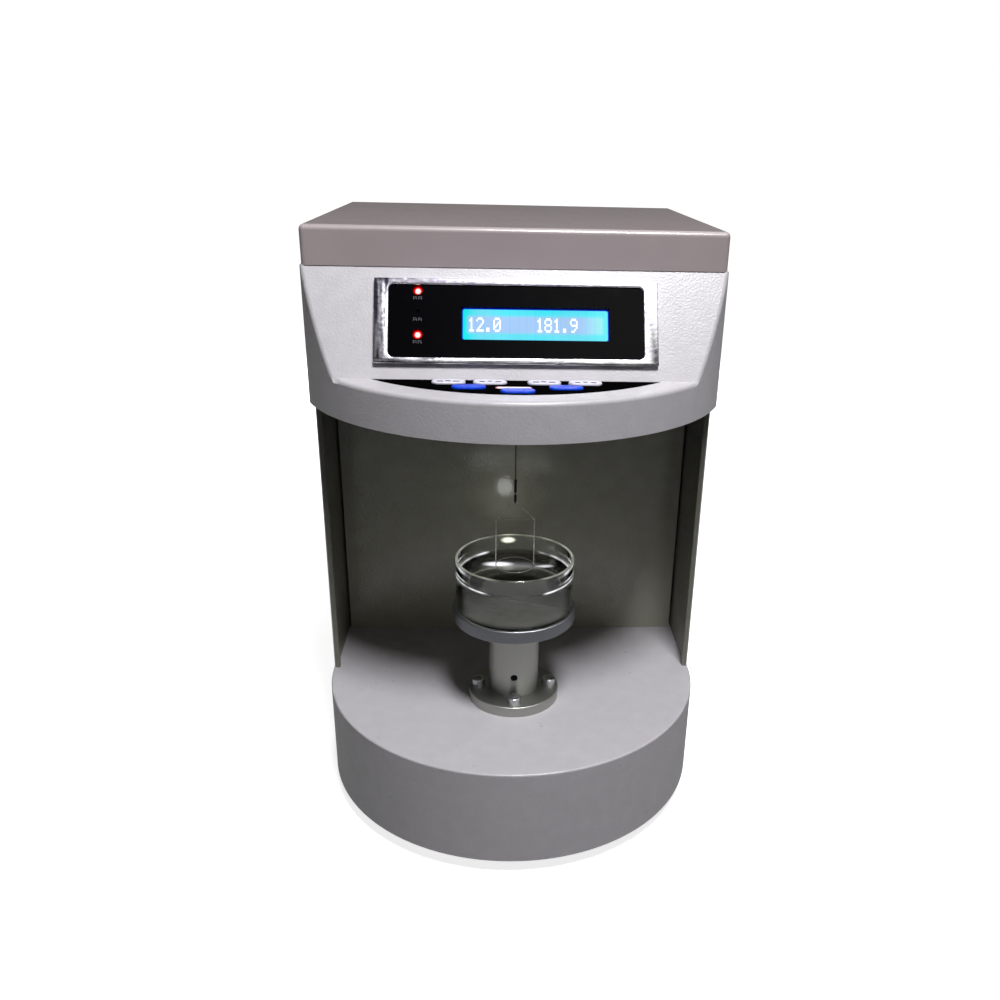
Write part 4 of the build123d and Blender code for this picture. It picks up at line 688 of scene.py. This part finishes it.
def turned(name, profile, steps=128):
    """A piece of revolution about the stage axis, from (radius, height) in millimetres."""
    deselect()
    bpy.ops.mesh.primitive_plane_add(size=MM)
    piece = named(name)
    bpy.context.tool_settings.mesh_select_mode = (True, False, False)
    bpy.ops.object.mode_set(mode="EDIT")
    bpy.ops.mesh.select_all(action="SELECT")
    bpy.ops.mesh.merge(type="CENTER")
    bpy.ops.mesh.select_all(action="SELECT")
    bpy.ops.transform.translate(value=(profile[0][0] * MM, 0, profile[0][1] * MM))
    for (r0, z0), (r1, z1) in zip(profile, profile[1:]):
        bpy.ops.mesh.extrude_region_move(
            TRANSFORM_OT_translate={"value": ((r1 - r0) * MM, 0, (z1 - z0) * MM)})
    bpy.ops.mesh.select_all(action="SELECT")
    bpy.ops.mesh.spin(steps=steps, angle=math.tau, center=(0, 0, 0), axis=(0, 0, 1))
    bpy.ops.mesh.select_all(action="SELECT")
    bpy.ops.mesh.remove_doubles(threshold=0.002 * MM)
    bpy.ops.mesh.normals_make_consistent(inside=False)
    bpy.ops.object.mode_set(mode="OBJECT")
    piece.location = (0, stage_y * MM, 0)
    bpy.ops.object.transform_apply(location=True, rotation=True, scale=True)
    return piece


def arc(centre_r, centre_z, radius, start, end, steps=6):
    """(radius, height) points of an arc for a turned profile, with angles in degrees."""
    angles = [math.radians(start + (end - start) * i / steps) for i in range(steps + 1)]
    return [(centre_r + radius * math.cos(a), centre_z + radius * math.sin(a)) for a in angles]


def wire(name, points, radius, closed=False):
    """A round wire through points in millimetres, as a mesh."""
    curve = bpy.data.curves.new(name, "CURVE")
    curve.dimensions = "3D"
    curve.bevel_depth = radius * MM
    curve.bevel_resolution = 3
    curve.use_fill_caps = not closed
    spline = curve.splines.new("POLY")
    spline.points.add(len(points) - 1)
    for target, point in zip(spline.points, points):
        target.co = tuple(value * MM for value in point) + (1.0,)
    spline.use_cyclic_u = closed
    piece = bpy.data.objects.new(name, curve)
    bpy.context.scene.collection.objects.link(piece)
    focus(piece)
    bpy.ops.object.convert(target="MESH")
    return bpy.context.object


def copied(piece):
    """A copy of a piece with its own mesh."""
    copy = piece.copy()
    copy.data = piece.data.copy()
    bpy.context.scene.collection.objects.link(copy)
    return copy


def joined(name, pieces):
    """One object made of several."""
    deselect()
    for piece in pieces:
        piece.select_set(True)
    bpy.context.view_layer.objects.active = pieces[0]
    bpy.ops.object.join()
    whole = bpy.context.object
    whole.name = name
    whole.data.name = name
    return whole


def cut(piece, tools):
    """Takes the tools' shapes out of a piece and deletes the tools."""
    for tool in tools:
        focus(piece)
        boolean = piece.modifiers.new("cut", "BOOLEAN")
        boolean.operation = "DIFFERENCE"
        boolean.solver = "EXACT"
        boolean.object = tool
        bpy.ops.object.modifier_apply(modifier=boolean.name)
        bpy.data.objects.remove(tool)
    return piece


def fascia_place(x, drop):
    """The place on the fascia's face: x to the right, drop down the slope."""
    turn = Matrix.Rotation(math.pi / 2 - FASCIA_LEAN, 4, "X")
    origin = Matrix.Translation(Vector((0, fascia_top[0], fascia_top[1])) * MM)
    return origin @ turn @ Matrix.Translation(Vector((x, -drop, 0)) * MM)


def fascia_drop_out(point):
    """How far a point in millimetres is down the fascia from its top edge, and out from it."""
    back, down = fascia_top[0] - point.y, fascia_top[1] - point.z
    slope, face = math.cos(FASCIA_LEAN), math.sin(FASCIA_LEAN)
    return back * face + down * slope, back * slope - down * face


def fascia_extent(node):
    """(lowest drop, highest drop, lowest out, highest out) of a CAD node on the fascia."""
    places = [fascia_drop_out(vertex.co / MM) for vertex in nodes[node].data.vertices]
    drops, outs = [place[0] for place in places], [place[1] for place in places]
    return min(drops), max(drops), min(outs), max(outs)


def on_fascia(piece, x, drop):
    """Moves a piece made flat at the origin to its place on the fascia."""
    piece.data.transform(fascia_place(x, drop))
    piece.data.update()
    return piece


def plate(name, half, low, high, x, drop):
    """A flat piece on the fascia, by half its width and height, and its faces out from the fascia."""
    return on_fascia(block(name, (-half[0], -half[1], low), (half[0], half[1], high)), x, drop)


def done(piece, body, maker, smooth=30.0):
    """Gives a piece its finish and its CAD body."""
    focus(piece)
    bpy.ops.object.shade_smooth_by_angle(angle=math.radians(smooth))
    piece.data.materials.clear()
    piece.data.materials.append(maker if isinstance(maker, bpy.types.Material) else finish(maker))
    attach(piece, body)
    return piece


def dress(maker, *names):
    """Gives CAD nodes their finish."""
    for name in names:
        for place in nodes[name].material_slots:
            place.material = finish(maker)


# ---- Sizes and colours that a user would change ----


def length(name, description, millimetres):
    """A length that a user may change."""
    return bpy.props.FloatProperty(name=name, description=description, unit="LENGTH",
                                   default=millimetres * MM)


def coat_colour(name, description, hex_colour):
    """A colour that a user may change."""
    return bpy.props.FloatVectorProperty(name=name, description=description, subtype="COLOR", size=4,
                                         min=0.0, max=1.0, default=linear(hex_colour))


class TensiometerSizes(bpy.types.PropertyGroup):
    """Sizes of the fine pieces"""
    liquid_level: length("Liquid level", "Height of the liquid's surface above the bench", 127.5)
    ring_wire: length("Ring wire", "Radius of the wire of the ring and its legs", 0.185)
    screen_width: length("Screen width", "Width of the lit part of the screen", 67.5)
    screen_height: length("Screen height", "Height of the lit part of the screen", 14.4)
    screen_offset: length("Screen offset", "Middle of the screen to the right of the middle", 8.75)
    screen_drop: length("Screen drop", "Middle of the screen down the fascia from its top edge", 27.2)
    character_pitch: length("Character pitch", "Distance from one character to the next", 3.965)
    lamp_offset: length("Lamp offset", "Indicator lamps to the left of the middle", 45.8)


class TensiometerColours(bpy.types.PropertyGroup):
    """Colours of the enamels"""
    enamel: coat_colour("Enamel", "Orange-peel enamel of the case", "#BDBAC0")
    lid: coat_colour("Lid", "Smooth enamel of the lid", "#A59A9D")
    # Painted shade: the inside is the case's enamel in the head's shade, given a darker colour of its
    # own here.
    inside: coat_colour("Inside", "Enamel inside the working space", "#9E9D90")


# ---- Pieces ----


class TENSIOMETER_OT_stage(bpy.types.Operator):
    """Floor, lamps, background and camera"""
    bl_idname = "tensiometer.stage"
    bl_label = "Stage"

    def execute(self, context):
        scene = context.scene
        scene.view_settings.view_transform = "Standard"

        # Camera: pitch down, yaw to the right and a little roll, in degrees.
        pitch, yaw, roll = (math.radians(angle) for angle in (23.23, 3.33, -1.40))
        ahead = Vector((math.sin(yaw) * math.cos(pitch), math.cos(yaw) * math.cos(pitch),
                        -math.sin(pitch)))
        level = Vector((math.cos(yaw), -math.sin(yaw), 0))
        down = ahead.cross(level)
        right = level * math.cos(roll) + down * math.sin(roll)
        under = -level * math.sin(roll) + down * math.cos(roll)
        deselect()
        bpy.ops.object.camera_add()
        camera = context.object
        camera.name = "camera"
        place = Matrix.Translation((-0.00997, -0.49862, 0.33240))
        camera.matrix_world = place @ Matrix((right, -under, -ahead)).transposed().to_4x4()
        camera.data.lens = 34.04
        camera.data.sensor_width = 36.0
        camera.data.shift_x = -0.0456
        camera.data.shift_y = 0.0469
        camera.data.clip_start = 0.01
        camera.data.dof.use_dof = False
        scene.camera = camera

        # Softbox above the front right, the patch of light that the liquid throws back on to the
        # panel, and low fills for the back and the sides, which gloss does not mirror. Each has its
        # place, its aim, its width in metres and its power in watts.
        lamps = (("main_softbox", (0.125, -0.443, 1.10), (0.0, -0.05, 0.10), 0.284, 12.6),
                 ("patch_lamp", (-0.0041, -0.008, 0.1422), (-0.0043, 0.0131, 0.1497), 0.010, 0.0010),
                 ("rear_fill", (0.0, 1.10, 0.24), (0.0, 0.13, 0.15), 0.50, 5.5),
                 ("left_fill", (-1.20, 0.45, 0.22), (0.0, 0.05, 0.15), 0.50, 1.4),
                 ("right_fill", (1.20, 0.45, 0.22), (0.0, 0.05, 0.15), 0.50, 1.4))
        for name, place, aim, width, power in lamps:
            deselect()
            bpy.ops.object.light_add(type="AREA", location=place)
            lamp = context.object
            lamp.name = name
            lamp.rotation_euler = (Vector(place) - Vector(aim)).to_track_quat("Z", "Y").to_euler()
            lamp.data.shape = "DISK"
            lamp.data.size = width
            lamp.data.energy = power
            lamp.visible_camera = False
            lamp.visible_glossy = not name.endswith("_fill")

        # White behind everything, and a dim room for the light and the reflections.
        world = bpy.data.worlds.new("studio")
        scene.world = world
        world.use_nodes = True
        tree = world.node_tree
        tree.nodes.clear()
        path, seen = seen_straight(tree)
        # A ceiling that is lighter to the right, which only glossy pieces show.
        way = add_node(tree, "TexCoord").outputs["Generated"]
        apart = add_node(tree, "SeparateXYZ", links={"Vector": way})
        ceiling = add_node(tree, "MapRange", smooth(0.5, 0.75), {"Value": apart.outputs["Z"]})
        right_part = add_node(tree, "MapRange", smooth(-0.12, 0.16), {"Value": apart.outputs["X"]})
        shiny = add_node(tree, "Math", {"operation": "MULTIPLY"},
                         {0: path.outputs["Is Glossy Ray"], 1: ceiling})
        pale = layered(tree, (0.26, 0.25, 0.3, 1.0), (right_part, (1.3, 1.3, 1.3, 1.0)))
        colour = layered(tree, (0.055, 0.055, 0.046, 1.0), (shiny, pale), (seen, (1.0, 1.0, 1.0, 1.0)))
        back = add_node(tree, "Background", {"Strength": 1.0}, {"Color": colour})
        add_node(tree, "OutputWorld", links={"Surface": back})

        # Floor: pale, with enough of its own white for the camera to join the background.
        deselect()
        bpy.ops.mesh.primitive_circle_add(vertices=96, radius=20.0, fill_type="NGON")
        floor = named("floor")
        material, tree, coords, shader = start_finish("pale_matt_floor", {
            "Roughness": 0.8, "Specular IOR Level": 0.2, "Emission Color": (1.0, 1.0, 1.0, 1.0)})
        path, seen = seen_straight(tree)
        away = add_node(tree, "VectorMath", {"operation": "LENGTH"}, {0: coords})
        white = add_node(tree, "MapRange", smooth(0.5, 1.6, 0.78, 1.0), {"Value": away})
        reflected = add_node(tree, "Math", {"operation": "MULTIPLY", 1: 0.1},
                             {0: path.outputs["Is Glossy Ray"]})
        shown = add_node(tree, "Math", {"operation": "MAXIMUM"}, {0: seen, 1: reflected})
        own = add_node(tree, "Math", {"operation": "MULTIPLY"}, {0: shown, 1: white})
        feed(material, shader, {"Emission Strength": own,
                                "Base Color": layered(tree, "#7C7C7C", (seen, "#EDEDED"))})
        floor.data.materials.append(material)
        return {"FINISHED"}


SLOT_FINISHES = {
    "textured_grey_paint": stoved_orange_peel_enamel, "lid_paint": smooth_stoved_enamel,
    "dark_grey_paint": shaded_enamel, "zinc_steel": zinc_plated_steel,
    "satin_aluminium": turned_aluminium, "bronze": machined_bronze, "brass": machined_brass,
    "chrome_frame": chrome_plate, "smoked_window": printed_acrylic, "lcd": screen_frame,
    "red_led": red_epoxy, "circuit_board": solder_resist, "black_plastic": black_acetal,
    "white_key": white_key_plastic, "blue_key": blue_key_plastic,
    "borosilicate_glass": borosilicate, "platinum_wire": platinum_iridium,
    "black_steel": blackened_steel, "black_rubber": moulded_rubber,
    "copper_coil": enamelled_copper, "red_rocker": translucent_red,
}


class TENSIOMETER_OT_finishes(bpy.types.Operator):
    """Finishes of the solid pieces"""
    bl_idname = "tensiometer.finishes"
    bl_label = "Finishes of the solid pieces"

    def execute(self, context):
        for piece in frame["record"]["subparts"]:
            dress(SLOT_FINISHES[piece["material_slot"]], piece["node"])
        dress(matt_overlay, "keypad_overlay")
        dress(wall_enamel, "left_wall", "right_wall")
        dress(aluminium_painted_shade, "platform")
        return {"FINISHED"}


class TENSIOMETER_OT_display(bpy.types.Operator):
    """Black window with its openings, the lit screen, its characters and the lamps"""
    bl_idname = "tensiometer.display"
    bl_label = "Display"

    # Each lamp's distance down the fascia and the radius of its opening.
    lamps = {"top": (11.7, 2.36), "middle": (21.9, 0.9), "bottom": (32.6, 2.5)}
    text = "12.0    181.9   "
    digits = {
        "0": ("01110", "10001", "10011", "10101", "11001", "10001", "01110"),
        "1": ("00100", "01100", "00100", "00100", "00100", "00100", "01110"),
        "2": ("01110", "10001", "00001", "00010", "00100", "01000", "11111"),
        "8": ("01110", "10001", "10001", "01110", "10001", "10001", "01110"),
        "9": ("01110", "10001", "10001", "01111", "00001", "00010", "01100"),
        ".": ("00000", "00000", "00000", "00000", "00000", "01100", "01100"),
    }
    # Half a dot's width and height, the distances from one dot to the next, and the gap before.
    dot_half = (0.345, 0.46)
    dot_pitch = (0.70, 0.96)
    dot_gap = 0.23
    # How far the worn marks are below a lamp, how far each is to the side, and the ink's thickness.
    mark_drop, mark_shift, ink = 3.9, 1.15, 0.03
    # The bars of one worn mark, as left, foot, right and top.
    mark_bars = ((-0.85, -0.75, -0.6, 0.75), (-0.6, 0.5, 0.8, 0.72),
                 (-0.6, -0.2, 0.55, 0.0), (0.5, -0.75, 0.75, 0.2))

    def execute(self, context):
        sizes = context.scene.tensiometer_sizes
        upper, lower, back, front = fascia_extent("display_window")
        window_drop = (upper + lower) / 2
        window_half = ((window_high.x - window_low.x) / 2, (lower - upper) / 2)
        place = (sizes.screen_offset / MM, sizes.screen_drop / MM)
        view_half = (sizes.screen_width / MM / 2, sizes.screen_height / MM / 2)
        # The screen is a little larger than its lit part, for the blue glow round it.
        glow = 0.7
        glass = (view_half[0] + glow, view_half[1] + glow)
        lamp_x = -sizes.lamp_offset / MM
        pane_back = back + 0.25
        screen_back, screen_face = back + 0.02, back + 0.12

        mask = plate("window_mask", window_half, back, front, 0, window_drop)
        tools = [plate("screen_opening", glass, back - 1, front + 1, *place)]
        panes = [plate("screen_pane", glass, pane_back, front, *place)]
        for drop, radius in self.lamps.values():
            tools.append(on_fascia(rod("lamp_opening", radius, back - 1, front + 1), lamp_x, drop))
            panes.append(on_fascia(rod("lamp_pane", radius, pane_back, front), lamp_x, drop))
        done(cut(mask, tools), "housing", printed_acrylic)
        panes = done(joined("window_panes", panes), "housing", clear_acrylic)
        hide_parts("display_window")

        # Chromed frame: round-edged, with a pocket behind for the window.
        upper, lower, low, high = fascia_extent("display_bezel")
        frame_drop = (upper + lower) / 2
        edge = (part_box("display_bezel")[1].x / MM, (lower - upper) / 2)
        frame_piece = block("chrome_frame", (-edge[0], -edge[1], max(low, 0.0)),
                            (edge[0], edge[1], high))
        half = (FRAME_OPENING[0] / 2, FRAME_OPENING[1] / 2)
        hole = block("hole", (-half[0], -half[1], -5), (half[0], half[1], 5))
        round_corners(hole, FRAME_CORNER)
        gap = 0.02
        half = (window_half[0] + gap, window_half[1] + gap)
        pocket = block("pocket", (-half[0], -half[1], -5), (half[0], half[1], front))
        pocket.data.transform(Matrix.Translation((0, (frame_drop - window_drop) * MM, 0)))
        frame_piece = cut(round_edges(cut(frame_piece, [hole]), 0.6, 4), [pocket])
        done(on_fascia(frame_piece, 0, frame_drop), "housing", chrome_plate, 40)
        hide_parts("display_bezel")

        # Worn printing beside the lamps: two short marks each.
        marks = []
        for drop, _ in self.lamps.values():
            for shift in (-self.mark_shift, self.mark_shift):
                for left, foot, right, top in self.mark_bars:
                    bar = block("mark", (left + shift, foot, front),
                                (right + shift, top, front + self.ink))
                    marks.append(on_fascia(bar, lamp_x, drop + self.mark_drop))
        done(joined("lamp_marks", marks), "housing", worn_ink)

        screen = plate("lit_screen", glass, screen_back, screen_face, *place)
        done(screen, "housing", backlit_screen)

        wide, tall = self.dot_half
        dot = block("dot", (-wide, -tall, screen_face), (wide, tall, back + 0.2))
        dots = []
        for column, character in enumerate(self.text):
            left = place[0] - view_half[0] + DIGIT_MARGIN + column * sizes.character_pitch / MM
            for row, line in enumerate(self.digits.get(character, ())):
                for step, lit in enumerate(line):
                    if lit == "1":
                        x = left + (step + 0.5) * self.dot_pitch[0] + self.dot_gap
                        drop = place[1] + (row - 3) * self.dot_pitch[1]
                        dots.append(on_fascia(copied(dot), x, drop))
        bpy.data.objects.remove(dot)
        done(joined("screen_characters", dots), "housing", screen_character)

        for name in ("top", "bottom"):
            drop, radius = self.lamps[name]
            lamp = rod(f"lamp_{name}_glow", radius - 0.01, screen_back, screen_face)
            done(on_fascia(lamp, lamp_x, drop), "housing", lit_indicator(f"lit_{name}_lamp", drop))
        return {"FINISHED"}


class TENSIOMETER_OT_keypad(bpy.types.Operator):
    """Printing on the keypad: marks on the white keys, and a bordered label between the blue ones"""
    bl_idname = "tensiometer.keypad"
    bl_label = "Keypad printing"

    marked_keys = ("key_zero", "key_calibrate", "key_mean", "key_auto")
    # Each dash's left end, its distance behind the key's front, and its right end.
    dashes = ((-5.2, 2.3, -2.4), (-1.4, 3.0, 0.9), (2.0, 2.3, 5.0))

    def execute(self, context):
        for number, key in enumerate(self.marked_keys):
            low, high = (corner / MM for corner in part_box(key))
            x, front, thick = (low.x + high.x) / 2, low.y, 1.5
            shorter = 0.5 * (number % 2)
            marks = [block("mark", (x + left + shorter, front + depth, high.z - 0.01),
                           (x + right, front + depth + thick, high.z + 0.04))
                     for left, depth, right in self.dashes]
            done(joined(f"{key}_marks", marks), key, key_ink)

        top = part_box("keypad_overlay")[1].z / MM
        low, high = (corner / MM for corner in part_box("key_down"))
        middle = (low.y + high.y) / 2
        # Two layers, by name, left end, right end, half their width, height and finish.
        layers = (("label_edge", -10.0, 6.6, 2.0, 0.04, label_border),
                  ("label_field", -9.5, 6.1, 1.55, 0.07, label_film))
        for name, left, right, half, rise, maker in layers:
            pill = block(name, (left, middle - half, top - 0.01), (right, middle + half, top + rise))
            done(round_corners(pill, half * 0.96), "housing", maker)
        return {"FINISHED"}


class TENSIOMETER_OT_dish(bpy.types.Operator):
    """Glass dish and the liquid in it"""
    bl_idname = "tensiometer.dish"
    bl_label = "Dish and liquid"

    def execute(self, context):
        level = context.scene.tensiometer_sizes.liquid_level / MM
        outer, wall, floor_depth, corner = dish_radius, 1.3, 2.0, 3.5
        inner, inside = outer - wall, corner - wall
        low, top = dish_low.z, dish_high.z
        rim = wall / 2
        profile = [(0, low), (outer - corner, low)]
        profile += arc(outer - corner, low + corner, corner, -90, 0, 8)[1:]
        profile += arc(outer - rim, top - rim, rim, 0, 180, 8)
        profile += [(inner, low + floor_depth + inside)]
        profile += arc(inner - inside, low + floor_depth + inside, inside, 0, -90, 6)[1:]
        profile += [(0, low + floor_depth)]
        glass = turned("glass_dish", profile)
        done(glass, "dish", borosilicate, 40)
        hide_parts("dish")

        # The liquid laps 0.05 mm into the glass, and climbs it as water does: at each slope the
        # surface is this high and this far from the wall, for a capillary length of 2.7 mm.
        lap, capillary = 0.05, 2.7
        wet = inner + lap
        slopes = [math.radians(a) for a in (78, 68, 58, 48, 40, 32, 25, 19, 14, 9, 5, 2)]
        rises = [2 * capillary * math.sin(a / 2) for a in slopes]
        steps = [capillary * (-math.log(math.tan(a / 4)) - 2 * math.cos(a / 2)) for a in slopes]
        liquid = [(0, low + floor_depth - lap), (inner - inside, low + floor_depth - lap)]
        liquid += arc(inner - inside, low + floor_depth + inside, inside + lap, -90, 0, 6)[1:]
        liquid += [(wet, level + rises[0] + 0.2)]
        liquid += [(inner - (step - steps[0]), level + rise) for step, rise in zip(steps, rises)]
        liquid += [(0, level)]
        water = turned("sample_liquid", liquid)
        done(water, "dish", sample_water, 50)
        return {"FINISHED"}


class TENSIOMETER_OT_ring(bpy.types.Operator):
    """Platinum ring with its stirrup and the collet that grips it"""
    bl_idname = "tensiometer.ring"
    bl_label = "Ring and rod"

    def execute(self, context):
        thick = context.scene.tensiometer_sizes.ring_wire / MM
        radius = (ring_high.x - ring_low.x) / 2 - thick
        leg_height, bend = 25.0, 0.5
        ring_z = ring_low.z + thick
        cross_z = ring_z + leg_height
        # The two slants meet under the collet that grips them.
        collet_height = 3.7
        apex_z = ring_high.z - collet_height
        turns = [math.tau * i / 96 for i in range(96)]
        around = [(radius * math.cos(a), stage_y + radius * math.sin(a), ring_z) for a in turns]
        parts = [wire("ring", around, thick, True)]
        for side in (-1, 1):
            turns = [math.radians(15 * i) for i in range(7)]
            corner = [(side * (radius - bend + bend * math.cos(a)), stage_y,
                       cross_z - bend + bend * math.sin(a)) for a in turns]
            leg = [(side * radius, stage_y, ring_z), *corner, (0, stage_y, cross_z)]
            slant = [(side * radius * 0.985, stage_y, cross_z), (0, stage_y, apex_z + 0.6)]
            parts += [wire("leg", leg, thick), wire("slant", slant, thick)]
            deselect()
            # Weld beads, by their size against the wire.
            for z, size in ((ring_z, 1.7), (cross_z, 1.5)):
                bpy.ops.mesh.primitive_uv_sphere_add(
                    segments=16, ring_count=10, radius=thick * size * MM,
                    location=(side * radius * MM, stage_y * MM, z * MM))
                parts.append(named("weld"))
        stirrup = joined("platinum_ring", parts)
        done(stirrup, "ring_hanger", platinum_iridium, 60)
        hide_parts("du_nouy_ring")
        grip = ((0, -0.6), (0.32, -0.6), (0.65, 0.3), (0.65, 3.3), (0.5, 3.7), (0, 3.7))
        collet = turned("ring_collet", [(r, apex_z + rise) for r, rise in grip], 32)
        done(collet, "ring_hanger", blackened_steel)
        return {"FINISHED"}


class TENSIOMETER_PT_panel(bpy.types.Panel):
    """Pieces of the tensiometer"""
    bl_idname = "TENSIOMETER_PT_panel"
    bl_label = "Tensiometer"
    bl_space_type = "VIEW_3D"
    bl_region_type = "UI"
    bl_category = "Tensiometer"

    def draw(self, context):
        for group in (context.scene.tensiometer_sizes, context.scene.tensiometer_colours):
            for name in group.__annotations__:
                self.layout.prop(group, name)
        for operator in OPERATORS:
            self.layout.operator(operator.bl_idname)


OPERATORS = (TENSIOMETER_OT_stage, TENSIOMETER_OT_finishes, TENSIOMETER_OT_display,
             TENSIOMETER_OT_keypad, TENSIOMETER_OT_dish, TENSIOMETER_OT_ring)
CLASSES = (TensiometerSizes, TensiometerColours) + OPERATORS + (TENSIOMETER_PT_panel,)


def register():
    for item in CLASSES:
        bpy.utils.register_class(item)
    bpy.types.Scene.tensiometer_sizes = bpy.props.PointerProperty(type=TensiometerSizes)
    bpy.types.Scene.tensiometer_colours = bpy.props.PointerProperty(type=TensiometerColours)


def unregister():
    del bpy.types.Scene.tensiometer_sizes
    del bpy.types.Scene.tensiometer_colours
    for item in reversed(CLASSES):
        bpy.utils.unregister_class(item)


def main():
    register()
    for operator in OPERATORS:
        group, name = operator.bl_idname.split(".")
        getattr(getattr(bpy.ops, group), name)()


if __name__ == "__main__":
    main()
